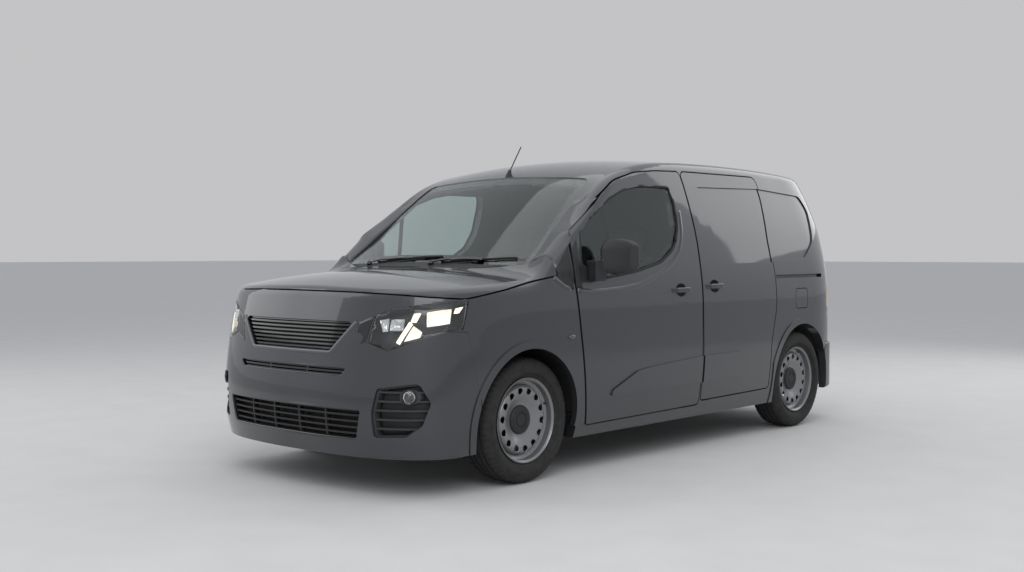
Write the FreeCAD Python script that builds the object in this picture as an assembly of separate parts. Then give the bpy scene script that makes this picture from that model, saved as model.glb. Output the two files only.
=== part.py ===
import FreeCAD, Part
import math
import os
from FreeCAD import Vector

# Compact panel van. Millimetres, nose towards -Y, the van's left towards +X, the ground at z = 0.

# Overall size
BODY_LENGTH = 4403.0
WHEELBASE = 2785.0
FRONT_OVERHANG = 892.0
SILL_WIDTH = 1848.0
ROOF_HEIGHT = 1796.0
BODY_BOTTOM = 195.0
FRONT_TRACK = 1553.0
REAR_TRACK = 1568.0

# Wall thicknesses and gaps
WALL = 60.0
ROOF_WALL = 40.0
FRONT_WALL = 28.0
SHUT_GAP = 8.0
SEAT_GAP = 0.3
PANEL_GAP = 0.5
POST_CLEARANCE = 8.0
POST_DEPTH = 40.0
SILL_DEPTH = 70.0
DOOR_SKIN = 14.0
DOOR_STEP = 10.0
DOOR_INNER_X = 712.0
REAR_DOOR_FRONT = 1940.0
GLASS_INSET = 8.0
SCREEN_INSET = 5.0
GLASS_THICKNESS = 5.0

# Rounded edges of the shell
EDGE_RADIUS = 75.0

# Wheels and tyres
TYRE_RADIUS = 326.0
TYRE_WIDTH = 205.0
RIM_RADIUS = 220.5
RIM_WIDTH = 165.0
RIM_WALL = 7.0
RIM_HOLES = 14
RIM_HOLE_RADIUS = 18.0
RIM_HOLE_CIRCLE = 152.0
HUB_CAP_RADIUS = 77.0
HUB_INNER = 50.0

# Wheel arches
FRONT_ARCH_RADIUS = 372.0
REAR_ARCH_RADIUS = 370.0
LINER_RADIUS = 386.0
LINER_WALL = 6.0
TOWER_RADIUS = 78.0
LINER_INNER_X = 480.0
REAR_LINER_INNER_X = 640.0

# Floor, bulkhead and firewall
CAB_FLOOR = 300.0
LOAD_FLOOR = 545.0
FLOOR_PLATE = 25.0
BULKHEAD_Y = 330.0
BULKHEAD_PLATE = 20.0
FIREWALL_Y = -1072.0
FIREWALL_PLATE = 20.0

FRONT_AXLE_Y = FRONT_OVERHANG - BODY_LENGTH / 2
REAR_AXLE_Y = FRONT_AXLE_Y + WHEELBASE
HALF_WIDTH = SILL_WIDTH / 2
NOSE_Y = -BODY_LENGTH / 2
TAIL_Y = BODY_LENGTH / 2
REAR_FACE = TAIL_Y - 36.0
FAR = 3000.0

# Levels of the plan sections: height, half width below or above the waist, nose set-back, tail set-back
PLAN_LEVELS = [
    (150.0, -78.0, 51.5, 0.0),
    (300.0, -27.0, 11.5, 0.0),
    (450.0, -8.0, 0.0, 0.0),
    (600.0, 0.0, 13.5, 0.0),
    (850.0, -3.0, 56.5, 0.0),
    (1000.0, -11.0, 96.5, 0.0),
    (1150.0, -31.0, 141.5, 10.0),
    (1300.0, -56.0, 191.5, 30.0),
    (1450.0, -88.0, 251.5, 68.0),
    (1600.0, -129.0, 311.5, 128.0),
    (1720.0, -169.0, 361.5, 190.0),
    (1850.0, -224.0, 421.5, 275.0),
]

# Centre line of the bonnet, windscreen and roof: y, depth below the roof's top
TOP_LINE = [
    (-2380.0, 876.0), (-2200.0, 811.0), (-2050.0, 766.0), (-1900.0, 734.0), (-1700.0, 708.0),
    (-1500.0, 692.0), (-1370.0, 680.0), (-1300.0, 662.0), (-1210.0, 612.0), (-1000.0, 470.0),
    (-700.0, 251.0), (-540.0, 148.0), (-380.0, 84.0), (-180.0, 39.0), (50.0, 15.0), (400.0, 2.0),
    (800.0, 0.0), (1300.0, 10.0), (1800.0, 38.0), (2300.0, 84.0),
]
TOP_STEPS = 44
CROWN_REACH = 735.0
CROWN_DROP = 46.0
SCREEN_WRAP = 55.0
SCREEN_WRAP_Y = -1200.0
SCREEN_WRAP_RANGE = 450.0

# Rise of the top sheet outside the windscreen, for the screen pillars: along y, and its share across x
PILLAR_RISE = [
    (-2400.0, 0.0), (-1230.0, 0.0), (-1150.0, 30.0), (-1050.0, 78.0), (-960.0, 98.0), (-850.0, 76.0),
    (-735.0, 48.0), (-600.0, 34.0), (-480.0, 26.0), (-300.0, 8.0), (-120.0, 0.0), (2400.0, 0.0),
]
PILLAR_SHARE = [
    (0.0, 0.0), (280.0, 0.0), (550.0, 0.0), (690.0, 0.0), (745.0, 0.12), (800.0, 0.65), (860.0, 1.0),
    (950.0, 1.15), (1050.0, 1.15),
]

# Side view outlines: y, z and corner radius
FRONT_DOOR = [
    (-859.0, 256.0, 20.0), (-905.0, 560.0, 600.0), (-938.0, 800.0, 900.0), (-972.0, 1040.0, 500.0),
    (-980.0, 1240.0, 120.0), (-958.0, 1316.0, 60.0), (-735.0, 1456.0, 300.0),
    (-480.0, 1608.0, 350.0), (-271.0, 1663.0, 500.0), (-60.0, 1682.0, 500.0), (192.0, 1690.0, 40.0),
    (204.0, 1600.0, 500.0), (238.0, 1240.0, 800.0), (240.0, 900.0, 900.0), (232.0, 268.0, 25.0),
]
WINDOW = [
    (-905.0, 1130.0, 25.0), (-884.0, 1300.0, 45.0), (-760.0, 1388.0, 200.0), (-565.0, 1498.0, 200.0),
    (-400.0, 1557.0, 200.0), (-240.0, 1584.0, 200.0), (38.0, 1586.0, 30.0), (64.0, 1500.0, 120.0),
    (56.0, 1340.0, 160.0), (-10.0, 1222.0, 150.0), (-160.0, 1138.0, 200.0), (-430.0, 1084.0, 300.0),
    (-740.0, 1050.0, 200.0),
]
SLIDING_DOOR = [
    (247.0, 290.0, 25.0), (247.0, 900.0, 900.0), (245.0, 1240.0, 800.0), (211.0, 1600.0, 500.0),
    (199.0, 1691.0, 40.0), (1090.0, 1696.0, 60.0), (1116.0, 1560.0, 300.0), (1104.0, 1290.0, 500.0),
    (1130.0, 1050.0, 400.0), (1132.0, 830.0, 300.0), (1062.0, 600.0, 300.0), (1060.0, 300.0, 25.0),
]
PANEL_RECESS = [
    (332.0, 1600.0, 60.0), (286.0, 1425.0, 120.0), (330.0, 1235.0, 120.0), (480.0, 1125.0, 150.0),
    (1080.0, 1130.0, 300.0), (1561.0, 1150.0, 200.0), (1734.0, 1280.0, 120.0),
    (1750.0, 1490.0, 90.0), (1660.0, 1588.0, 80.0), (1100.0, 1618.0, 300.0),
]
RECESS_DEPTH = 9.0
DOOR_PRESSING = [
    (-668.0, 400.0, 14.0), (-655.0, 432.0, 30.0), (-430.0, 524.0, 60.0), (-300.0, 538.0, 300.0),
    (203.0, 567.0, 3000.0), (690.0, 570.0, 60.0), (800.0, 482.0, 60.0), (826.0, 424.0, 14.0),
    (700.0, 414.0, 600.0), (0.0, 398.0, 3000.0),
]
PRESSING_HEIGHT = 9.0
ARCH_LIP = 42.0
ARCH_LIP_HEIGHT = 6.0
RAIL_SLOT = [(1141.0, 1022.0, 6.0), (1141.0, 1046.0, 6.0), (1800.0, 1048.0, 11.0), (1800.0, 1024.0, 11.0)]
SLOT_DEPTH = 22.0
HANDLES = ((12.0, 972.0), (378.0, 988.0))
HANDLE_LENGTH = 196.0
HANDLE_HEIGHT = 28.0
HANDLE_REACH = 22.0
HANDLE_THICKNESS = 14.0
HANDLE_SLOPE = 30.0
HANDLE_FOOT = 28.0
HANDLE_ROOT = 14.0
HANDLE_ROUND = 4.0
CUP_LENGTH = 112.0
CUP_HEIGHT = 80.0
CUP_DEPTH = 24.0
BONNET_LINE_SIDE = [
    (-2400.0, 1003.0, 10.0), (-2110.0, 1003.0, 200.0), (-1930.0, 978.0, 200.0),
    (-1770.0, 966.0, 200.0), (-1500.0, 1008.0, 400.0), (-1340.0, 1036.0, 300.0),
    (-1090.0, 1078.0, 10.0), (-1090.0, 1500.0, 10.0), (-2400.0, 1500.0, 10.0),
]
LAMP_FRONT = [
    (538.0, 757.0, 12.0), (556.0, 884.0, 25.0), (640.0, 922.0, 120.0), (780.0, 946.0, 200.0),
    (960.0, 966.0, 10.0), (960.0, 850.0, 10.0), (855.0, 811.0, 60.0), (716.0, 748.0, 25.0),
    (650.0, 718.0, 20.0),
]
LAMP_REAR_FOOT = -1792.0
LAMP_REAR_HEAD = -1748.0

# Openings in the nose, seen from the front: half widths and heights
UPPER_GRILLE = [(-460.0, 856.0, 22.0), (-314.0, 701.0, 30.0), (314.0, 701.0, 30.0), (460.0, 856.0, 22.0)]
UPPER_SLOT = [(-441.0, 631.0, 12.0), (-399.0, 589.0, 12.0), (399.0, 589.0, 12.0), (441.0, 631.0, 12.0)]
LOWER_INTAKE = [
    (-533.0, 433.0, 16.0), (-496.0, 284.0, 16.0), (496.0, 284.0, 16.0), (533.0, 433.0, 16.0),
]
FOG_POD = [
    (594.0, 301.0, 16.0), (589.0, 421.0, 60.0), (613.0, 539.0, 18.0), (786.0, 566.0, 24.0),
    (826.0, 470.0, 60.0), (800.0, 360.0, 40.0), (742.0, 308.0, 24.0),
]
GRILLE_INSET = 12.0
GRILLE_DEPTH = 30.0
BAR_THICKNESS = 9.0
DIVIDER = 10.0

# Joint places
REAR_DOOR_EDGE = 770.0
KINGPIN_FOOT = (715.0, 215.0)
KINGPIN_HEAD = (550.0, 850.0)


def outline(corners, grow=0.0):
    """Closed flat wire of straight runs and tangent arcs, from corners with radii."""
    count = len(corners)
    points = [Vector(a, b, 0) for a, b, r in corners]
    edges = []
    ends = []
    for i in range(count):
        before = (points[i - 1] - points[i]).normalize()
        after = (points[(i + 1) % count] - points[i]).normalize()
        half = before.getAngle(after) / 2
        room = min((points[i - 1] - points[i]).Length, (points[(i + 1) % count] - points[i]).Length)
        reach = min(corners[i][2] / math.tan(half), 0.48 * room)
        radius = reach * math.tan(half)
        start = points[i] + before * reach
        end = points[i] + after * reach
        middle = (before + after).normalize()
        crown = points[i] + middle * (radius / math.sin(half) - radius)
        ends.append((start, crown, end))
    for i in range(count):
        start, crown, end = ends[i]
        edges.append(Part.Arc(start, crown, end).toShape())
        edges.append(Part.LineSegment(end, ends[(i + 1) % count][0]).toShape())
    wire = Part.Wire(edges)
    if grow:
        wire = wire.makeOffset2D(grow, 0, False, False, False)
    return wire


def side_prism(corners, x0, x1, grow=0.0):
    """Solid whose side view is the outline, from x0 to x1."""
    face = Part.Face(outline(corners, grow))
    face.rotate(Vector(0, 0, 0), Vector(1, 0, 0), 90)
    face.rotate(Vector(0, 0, 0), Vector(0, 0, 1), 90)
    face.translate(Vector(x0, 0, 0))
    return face.extrude(Vector(x1 - x0, 0, 0))


def front_prism(corners, y0, y1, grow=0.0):
    """Solid whose front view is the outline, from y0 to y1."""
    face = Part.Face(outline(corners, grow))
    face.rotate(Vector(0, 0, 0), Vector(1, 0, 0), 90)
    face.translate(Vector(0, y0, 0))
    return face.extrude(Vector(0, y1 - y0, 0))


def plan_prism(corners, z0, z1, grow=0.0):
    """Solid whose plan is the outline, from z0 to z1."""
    face = Part.Face(outline(corners, grow))
    face.translate(Vector(0, 0, z0))
    return face.extrude(Vector(0, 0, z1 - z0))


def box(x0, x1, y0, y1, z0, z1):
    return Part.makeBox(x1 - x0, y1 - y0, z1 - z0, Vector(x0, y0, z0))


def cylinder(radius, start, end):
    start = Vector(*start)
    along = Vector(*end) - start
    return Part.makeCylinder(radius, along.Length, start, along)


def mirrored(shape):
    return shape.mirror(Vector(0, 0, 0), Vector(1, 0, 0))


def both(shape):
    return Part.makeCompound([shape, mirrored(shape)])


def largest(shape):
    return max(shape.Solids, key=lambda s: s.Volume)


def save(name, shape):
    print(name, shape.isValid(), len(shape.Solids), round(shape.Volume / 1e6, 3))
    shape.exportStep("parts/" + name + ".step")


# The body's outer form, and the same form set in by a wall

def plan_points(level):
    z, width_change, nose_back, tail_back = level
    w = HALF_WIDTH + width_change
    f = NOSE_Y + nose_back
    r = REAR_FACE - tail_back
    half = [
        (0, f), (300, f + 12), (560, f + 60), (740, f + 150), (850, f + 290), (w - 20, f + 480),
        (w - 6, f + 720), (w, -900), (w, -100), (w - 3, 600), (w - 8, 1150), (w - 16, r - 560),
        (w - 32, r - 335), (w - 84, r - 185), (w - 190, r - 75), (w - 350, r - 22), (300, r - 3), (0, r),
    ]
    return [Vector(x, y, 0) for x, y in half] + [Vector(-x, y, 0) for x, y in half[-2:0:-1]]


def plan_section(level, inset):
    """Closed plan curve at one level; every level shares one knot row, so the skin stays light."""
    loop = plan_points(level)
    moved = []
    for i, point in enumerate(loop):
        along = (loop[(i + 1) % len(loop)] - loop[i - 1]).normalize()
        moved.append(point + Vector(-along.y * inset, along.x * inset, level[0]))
    waist = plan_points(PLAN_LEVELS[3])
    knots = [0.0]
    for i, point in enumerate(waist):
        knots.append(knots[-1] + (waist[(i + 1) % len(waist)] - point).Length)
    curve = Part.BSplineCurve()
    curve.interpolate(Points=moved, PeriodicFlag=True, Parameters=knots)
    return Part.Wire([curve.toShape()])


def tub(inset):
    """The body's sides, nose and tail as one skinned solid."""
    return Part.makeLoft([plan_section(level, inset) for level in PLAN_LEVELS], True, False)


def centre_line(inset):
    """Even steps along the middle of bonnet, windscreen and roof, moved in by a wall."""
    curve = Part.BSplineCurve()
    curve.interpolate([Vector(0, y, ROOF_HEIGHT - drop) for y, drop in TOP_LINE])
    moved = []
    for point in curve.discretize(TOP_STEPS):
        along = curve.tangent(curve.parameter(point))[0]
        moved.append((point.y + along.z * inset, point.z - along.y * inset))
    return moved


def pillar_rise(y):
    """Height of the rise at y, straight between the table's rows."""
    for (y0, rise0), (y1, rise1) in zip(PILLAR_RISE, PILLAR_RISE[1:]):
        if y <= y1:
            return rise0 + (rise1 - rise0) * (y - y0) / (y1 - y0)
    return 0.0


def under_top(inset):
    """Everything below the crowned sheet of bonnet, windscreen and roof."""
    line = centre_line(inset)
    grid = []
    columns = [(-x, share) for x, share in PILLAR_SHARE[:0:-1]] + PILLAR_SHARE
    for x, share in columns:
        crown = (x / CROWN_REACH) ** 2
        row = []
        for y, z in line:
            wrap = SCREEN_WRAP * math.exp(-((y - SCREEN_WRAP_Y) / SCREEN_WRAP_RANGE) ** 2)
            rise = share * pillar_rise(y + wrap * crown)
            row.append(Vector(x, y + wrap * crown, z - CROWN_DROP * crown + rise))
        grid.append(row)
    surface = Part.BSplineSurface()
    surface.interpolate(grid)
    return surface.toShape().extrude(Vector(0, 0, -1900))


def body_form(wall, roof):
    """The body's form, set in by its wall and roof."""
    return largest(tub(wall).common(under_top(roof)))


def outer_body():
    """The body's outside, with its upper edge rounded all round."""
    body = body_form(0.0, 0.0)
    edges = [e for e in body.Edges if e.BoundBox.ZMax > 1500 and e.BoundBox.XLength > 1200]
    return body.makeFillet(EDGE_RADIUS, edges)


def within(form, x0, x1, y0, y1, z0, z1):
    """The part of a form in a box, so that later cuts meet small faces only."""
    return largest(form.common(box(x0, x1, y0, y1, z0, z1)))


OUTER = within(outer_body(), -FAR, FAR, -FAR, FAR, BODY_BOTTOM, FAR)
CAB_FORM = body_form(WALL, ROOF_WALL)
BAY_FORM = within(body_form(FRONT_WALL, FRONT_WALL), -FAR, FAR, -FAR, -850, 0, FAR)
LEFT_OUTER = within(OUTER, 440, FAR, -FAR, FAR, 0, FAR)
LEFT_CAB = within(CAB_FORM, 430, FAR, -FAR, FAR, 0, FAR)
LEFT_BAY = within(BAY_FORM, 430, FAR, -FAR, FAR, 0, FAR)


def panel(form, space, zone, limits):
    """A wall of the body: the form inside a zone, less the space within."""
    x0, x1, y0, y1, z0, z1 = limits
    wall = form.common(box(x0, x1, y0, y1, z0, z1)).common(zone)
    room = space.common(box(x0 - 9, x1 + 9, y0 - 9, y1 + 9, z0 - 9, z1 + 9))
    return wall.cut(room)


FRONT_ARCH_AT = (FRONT_AXLE_Y - 21, 330)
REAR_ARCH_AT = (REAR_AXLE_Y + 16, 338)
FRONT_ARCH = cylinder(FRONT_ARCH_RADIUS, (560, *FRONT_ARCH_AT), (1200, *FRONT_ARCH_AT))
REAR_ARCH = cylinder(REAR_ARCH_RADIUS, (560, *REAR_ARCH_AT), (1200, *REAR_ARCH_AT))

# Plan outlines of the top panels
SCREEN_PLAN = [
    (-738, -1181, 30), (-640, -522, 40), (-330, -534, 2000), (0, -538, 4000), (330, -534, 2000),
    (640, -522, 40), (738, -1181, 30), (400, -1262, 900), (0, -1288, 2000), (-400, -1262, 900),
]
SCUTTLE_PLAN = [
    (-800, -1118, 10), (-800, -1000, 10), (800, -1000, 10), (800, -1118, 10), (420, -1330, 700),
    (0, -1372, 2000), (-420, -1330, 700),
]
BONNET_PLAN = [
    (-960, -1118, 10), (-800, -1118, 60), (-420, -1330, 700), (0, -1372, 2000), (420, -1330, 700),
    (800, -1118, 60), (960, -1118, 10), (960, -2400, 10), (-960, -2400, 10),
]
REAR_DOORWAY = [
    (-REAR_DOOR_EDGE, 572, 25), (-REAR_DOOR_EDGE, 1150, 400), (-692, 1662, 45), (692, 1662, 45),
    (REAR_DOOR_EDGE, 1150, 400), (REAR_DOOR_EDGE, 572, 25),
]
HALF_GAP = SHUT_GAP / 2
BONNET_POST_X = 350.0
BONNET_POST_RADIUS = 12.0


def behind(y):
    return box(-FAR, FAR, y, FAR, 0, FAR)


def ahead(y):
    return box(-FAR, FAR, -FAR, y, 0, FAR)


def above(z):
    return box(-FAR, FAR, -FAR, FAR, z, FAR)


def below(z):
    return box(-FAR, FAR, -FAR, FAR, -100, z)


SCREEN_CUT = plan_prism(SCREEN_PLAN, 1090, FAR)
SCUTTLE_CUT = plan_prism(SCUTTLE_PLAN, 1020, 1300)


def bonnet_space(grow):
    lid = side_prism(BONNET_LINE_SIDE, -1100, 1100, grow)
    return largest(lid.common(plan_prism(BONNET_PLAN, 905, 1400, grow)))


BONNET_ZONE = bonnet_space(-HALF_GAP)
BONNET_HOLE = bonnet_space(HALF_GAP)
ROOF_PLAN_HALF = 655.0
HEADER_Y = -565.0
FRAME_JOINTS = (-775.0, -692.0)


def inside_skin(depth):
    """Front view block within the body side's tumblehome, less a depth."""
    rim = [(HALF_WIDTH + change - depth, z, 1) for z, change, nose, tail in PLAN_LEVELS]
    return front_prism([(0, 100, 1)] + [(x, z, 1) for x, z, r in rim] + [(0, 1850, 1)], -1400, 1500)


def door_panel(corners, limits):
    """A door as thick as the wall, with its inner layer stepped in all round."""
    zone = side_prism(corners, DOOR_INNER_X, FAR, -HALF_GAP)
    door = largest(panel(LEFT_OUTER, LEFT_CAB, zone, limits))
    ring = side_prism(corners, 560, FAR, 2.0).cut(side_prism(corners, 500, FAR, -HALF_GAP - DOOR_STEP))
    return largest(door.cut(ring.common(inside_skin(DOOR_SKIN))))


def front_door():
    """Front door with its window cut through."""
    door = door_panel(FRONT_DOOR, (500, 1000, -1020, 300, 200, 1750))
    door = door.cut(side_prism(WINDOW, 500, FAR))
    room = side_prism(FRONT_DOOR, 700, FAR, -HALF_GAP)
    return with_handle(door.fuse(raised(DOOR_PRESSING, PRESSING_HEIGHT, room)), *HANDLES[0])


def pressed_in(shape, corners, depth):
    """A panel with an outline pressed in, level with the outside a depth down."""
    band = within(OUTER, 600, FAR, *side_limits(corners)).common(side_prism(corners, 600, FAR))
    return largest(shape.cut(band.cut(within(tub(depth), 590, FAR, *side_limits(corners, 9)))))


def side_limits(corners, margin=3.0):
    ys = [y for y, z, r in corners]
    zs = [z for y, z, r in corners]
    return min(ys) - margin, max(ys) + margin, min(zs) - margin, max(zs) + margin


def raised(corners, height, room):
    """A pressing that stands proud of the body side inside an outline, as far as room reaches."""
    limits = side_limits(corners)
    slab = within(tub(-height), 700, FAR, *limits).cut(within(tub(2.0), 690, FAR, *side_limits(corners, 9)))
    return slab.common(side_prism(corners, 700, FAR)).common(room)


def outside_x(y, z):
    """How far out the left side reaches at one place."""
    line = Part.makeLine(Vector(DOOR_INNER_X, y, z), Vector(FAR, y, z))
    return max(vertex.X for vertex in line.common(LEFT_OUTER).Vertexes)


def with_handle(door, y, z):
    """A cup sunk in the door and a grip across it, held at both ends."""
    x = outside_x(y, z)
    cup = Part.makeSphere(1.0)
    scale = FreeCAD.Matrix()
    scale.scale(CUP_DEPTH, CUP_LENGTH / 2, CUP_HEIGHT / 2)
    cup = cup.transformGeometry(scale)
    cup.translate(Vector(x, y, z))
    half = HANDLE_LENGTH / 2
    root = x - HANDLE_ROOT
    low, high = z - HANDLE_HEIGHT / 2, z + HANDLE_HEIGHT / 2
    front = x + HANDLE_REACH
    bow = [(root, y - half, 0.5), (x + 2, y - half, 3), (front, y - half + HANDLE_SLOPE, 24),
           (front, y + half - HANDLE_SLOPE, 24), (x + 2, y + half, 3), (root, y + half, 0.5)]
    grip = plan_prism(bow, low, high)
    rims = [e for e in grip.Edges if e.BoundBox.ZLength < 1e-3 and e.BoundBox.XMax > x + 3]
    grip = grip.makeFillet(HANDLE_ROUND, rims)
    back = front - HANDLE_THICKNESS
    inner = half - HANDLE_FOOT
    hollow = [(root - 1, y - inner, 0.5), (back, y - inner + HANDLE_ROOT, 8), (back, y + inner - HANDLE_ROOT, 8),
              (root - 1, y + inner, 0.5)]
    grip = grip.cut(plan_prism(hollow, low - 1, high + 1))
    return largest(door.cut(cup).fuse(grip))


def door_glass():
    """The quarter light and drop glass as one pane in the window."""
    limits = (500, 1000, -960, 100, 1000, 1650)
    pane = within(tub(GLASS_INSET), *limits).common(side_prism(WINDOW, 500, FAR, -SEAT_GAP))
    return largest(pane.cut(within(tub(GLASS_INSET + GLASS_THICKNESS), 490, 1010, -970, 110, 990, 1660)))


def sliding_door():
    door = door_panel(SLIDING_DOOR, (500, 1000, 150, 1200, 200, 1760))
    door = pressed_in(door, PANEL_RECESS, RECESS_DEPTH)
    room = side_prism(SLIDING_DOOR, 700, FAR, -HALF_GAP)
    return with_handle(door.fuse(raised(DOOR_PRESSING, PRESSING_HEIGHT, room)), *HANDLES[1])


def body_side():
    """Side frame: sill, screen pillar, roof rail and rear quarter, with the posts behind the doors."""
    zone = plan_prism(
        [(ROOF_PLAN_HALF + PANEL_GAP, HEADER_Y - PANEL_GAP, 0.2), (ROOF_PLAN_HALF + PANEL_GAP, 2300, 5),
         (1200, 2300, 5), (1200, -1130, 5), (560, -1130, 5), (560, HEADER_Y - PANEL_GAP, 5)], 0, FAR)
    frame = LEFT_OUTER.common(zone)
    for corners in (FRONT_DOOR, SLIDING_DOOR):
        frame = frame.cut(side_prism(corners, 500, FAR, HALF_GAP))
    frame = frame.cut(front_prism(REAR_DOORWAY, REAR_DOOR_FRONT - SHUT_GAP, FAR, HALF_GAP))
    wing_side = [(-1500, -10, 5), (-945, -10, 5), (-945, 262, 5), (-800, 262, 5), (-860, 560, 5),
                 (-900, 900, 5), (-930, 1085, 5), (-1500, 1085, 5)]
    frame = frame.cut(side_prism(wing_side, 0, FAR)).cut(REAR_ARCH).cut(SCREEN_CUT)
    frame = frame.cut(rear_bumper_zone(PANEL_GAP)).cut(tail_lamp_zone(SEAT_GAP))
    frame = frame.cut(SCUTTLE_CUT.common(ahead(-1099.5)))
    frame = largest(frame.cut(LEFT_CAB))
    frame = pressed_in(frame, PANEL_RECESS, RECESS_DEPTH)
    frame = pressed_in(frame, RAIL_SLOT, SLOT_DEPTH)
    room = behind(1100).cut(side_prism(SLIDING_DOOR, 500, FAR, HALF_GAP)).cut(rear_bumper_zone(PANEL_GAP))
    return largest(frame.fuse(arch_lip(REAR_ARCH_AT, REAR_ARCH_RADIUS, room)))


def arch_lip(centre, radius, room):
    """The proud rim round a wheel arch, as far as room reaches."""
    y, z = centre
    reach = radius + ARCH_LIP
    limits = (760, FAR, y - reach - 5, y + reach + 5, BODY_BOTTOM, z + reach + 5)
    slab = within(tub(-ARCH_LIP_HEIGHT), *limits).cut(within(tub(2.0), 750, FAR, *limits[2:]))
    ring = cylinder(reach, (700, y, z), (1200, y, z)).cut(cylinder(radius, (690, y, z), (1210, y, z)))
    return slab.common(ring).common(room)


def liner_axis(inner_x):
    return (inner_x, FRONT_AXLE_Y - 3, 330), (1200, FRONT_AXLE_Y - 3, 330)


def front_post():
    """Hinge post behind the wing."""
    post = within(tub(FRONT_WALL + 2), 600, FAR, -1050, -855, 262, 1085)
    post = post.cut(within(tub(WALL), 590, FAR, -1060, -845, 0, 1100))
    liner = cylinder(LINER_RADIUS + LINER_WALL + PANEL_GAP, *liner_axis(500))
    return largest(post.cut(side_prism(FRONT_DOOR, 560, FAR, HALF_GAP)).cut(liner))


DOOR_BUFFER = (206.0, 226.0, 700.0, 740.0)


def mid_post():
    """Post between the two side doors, clear of both inside faces, joined to sill and roof rail."""
    y0, y1 = 205, 295
    clear = WALL + POST_CLEARANCE
    post = within(body_form(clear, clear), 657, FAR, y0, y1, BODY_BOTTOM, FAR)
    post = post.fuse([within(tub(WALL - 1), 657, FAR, y0, y1, BODY_BOTTOM, 246),
                      within(body_form(WALL - 1, ROOF_WALL - 1), 657, FAR, y0, y1, 1702, FAR)])
    post = post.fuse(within(tub(WALL + SEAT_GAP), 657, FAR, *DOOR_BUFFER))
    inner = body_form(clear + POST_DEPTH, clear + POST_DEPTH - 20)
    return largest(post.cut(within(inner, 600, FAR, y0 - 9, y1 + 9, 0, FAR)))


def inner_sill():
    """Box behind the doors' lower edges, which carries the cab floor."""
    y0, y1 = -925, BULKHEAD_Y
    clear = WALL + POST_CLEARANCE
    sill = within(tub(clear), 600, FAR, y0, y1, BODY_BOTTOM, CAB_FLOOR)
    sill = sill.fuse(within(tub(WALL - 1), 600, FAR, y0, y1, BODY_BOTTOM, 246))
    return largest(sill.cut(within(tub(clear + SILL_DEPTH), 500, FAR, y0 - 9, y1 + 9, 0, FAR)))


def body_side_frame():
    """The side frame, joined from three lengths over the front door."""
    frame = largest(body_side().fuse([front_post(), mid_post(), inner_sill()]))
    for joint in FRAME_JOINTS:
        frame = largest(frame.common(ahead(joint)).fuse(frame.common(behind(joint))))
    return frame


FLAP = [(1400.0, 818.0, 22.0), (1400.0, 948.0, 22.0), (1560.0, 948.0, 22.0), (1560.0, 818.0, 22.0)]
FLAP_GAP = 5.0
FLAP_HINGE_X = 907.0
FLAP_HINGE_OFFSET = 3.0
FLAP_PIN_RADIUS = 2.3
FLAP_THICKNESS = 12.0
FLAP_POCKET_X = 868.0


def fuel_pocket():
    return side_prism(FLAP, FLAP_POCKET_X, FAR, FLAP_GAP)


def flap_barrel():
    y = FLAP[0][0] - FLAP_HINGE_OFFSET
    return cylinder(FLAP_PIN_RADIUS, (FLAP_HINGE_X, y, 850), (FLAP_HINGE_X, y, 905))


def fuel_flap():
    """Fuel filler flap in the left rear quarter."""
    flap = within(LEFT_OUTER, 800, FAR, 1300, 1650, 780, 990).common(side_prism(FLAP, 800, FAR))
    return largest(flap.cut(within(tub(FLAP_THICKNESS), 700, FAR, 1290, 1660, 770, 1000)))


def rear_bumper_zone(grow):
    return side_prism(
        [(1822 - grow, 150, 5), (1812 - grow, 420, 60), (1846 - grow, 565 + grow, 20),
         (2400, 565 + grow, 5), (2400, 150, 5)], -FAR, FAR)


def tail_lamp_zone(grow):
    return side_prism(
        [(1905 - grow, 735 - grow, 25), (1880 - grow, 900, 200), (1902 - grow, 1125 + grow, 25),
         (2400, 1125 + grow, 5), (2400, 735 - grow, 5)], REAR_DOOR_EDGE + 16 - grow, FAR)


def tail_lamp():
    lamp = LEFT_OUTER.common(tail_lamp_zone(0.0))
    return largest(lamp.cut(within(tub(WALL - 12), 700, FAR, 1800, FAR, 600, 1300)))


def roof_panel():
    limits = (-ROOF_PLAN_HALF, ROOF_PLAN_HALF, HEADER_Y, 2250, 1400, 1900)
    doorway = front_prism(REAR_DOORWAY, REAR_DOOR_FRONT - SHUT_GAP, FAR, HALF_GAP)
    roof = within(OUTER, *limits).cut(SCREEN_CUT).cut(doorway)
    return largest(roof.cut(within(CAB_FORM, -700, 700, HEADER_Y - 9, 2300, 1390, 1900)))


def rear_door():
    zone = front_prism(REAR_DOORWAY, REAR_DOOR_FRONT, FAR, -HALF_GAP)
    door = panel(OUTER, CAB_FORM, zone, (HALF_GAP, 900, 1700, 2300, 500, 1700))
    free_edge = side_prism(
        [(1700, 400, 5), (REAR_FACE - DOOR_SKIN - 3, 400, 5), (REAR_FACE - DOOR_SKIN - 3, 1150, 800),
         (REAR_FACE - 160 - DOOR_SKIN, 1662, 5), (1700, 1662, 5)], 0, HALF_GAP + DOOR_STEP)
    return largest(largest(door).cut(free_edge))


def windscreen():
    sheet = under_top(SCREEN_INSET).cut(under_top(SCREEN_INSET + GLASS_THICKNESS))
    return largest(sheet.common(plan_prism(SCREEN_PLAN, 1080, FAR, -SEAT_GAP)).cut(BONNET_HOLE))


def scuttle_panel():
    zone = SCUTTLE_CUT.cut(plan_prism(SCREEN_PLAN, 1000, FAR, SEAT_GAP))
    panel_piece = panel(OUTER, BAY_FORM, zone, (-820, 820, -1400, -1100, 1000, 1300))
    return largest(panel_piece.cut(BONNET_HOLE))


def bonnet():
    skin = within(OUTER, -1000, 1000, -2300, -1050, 930, 1250)
    skin = skin.cut(within(BAY_FORM, -1010, 1010, -2310, -1040, 900, 1260))
    return largest(skin.common(BONNET_ZONE))


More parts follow.
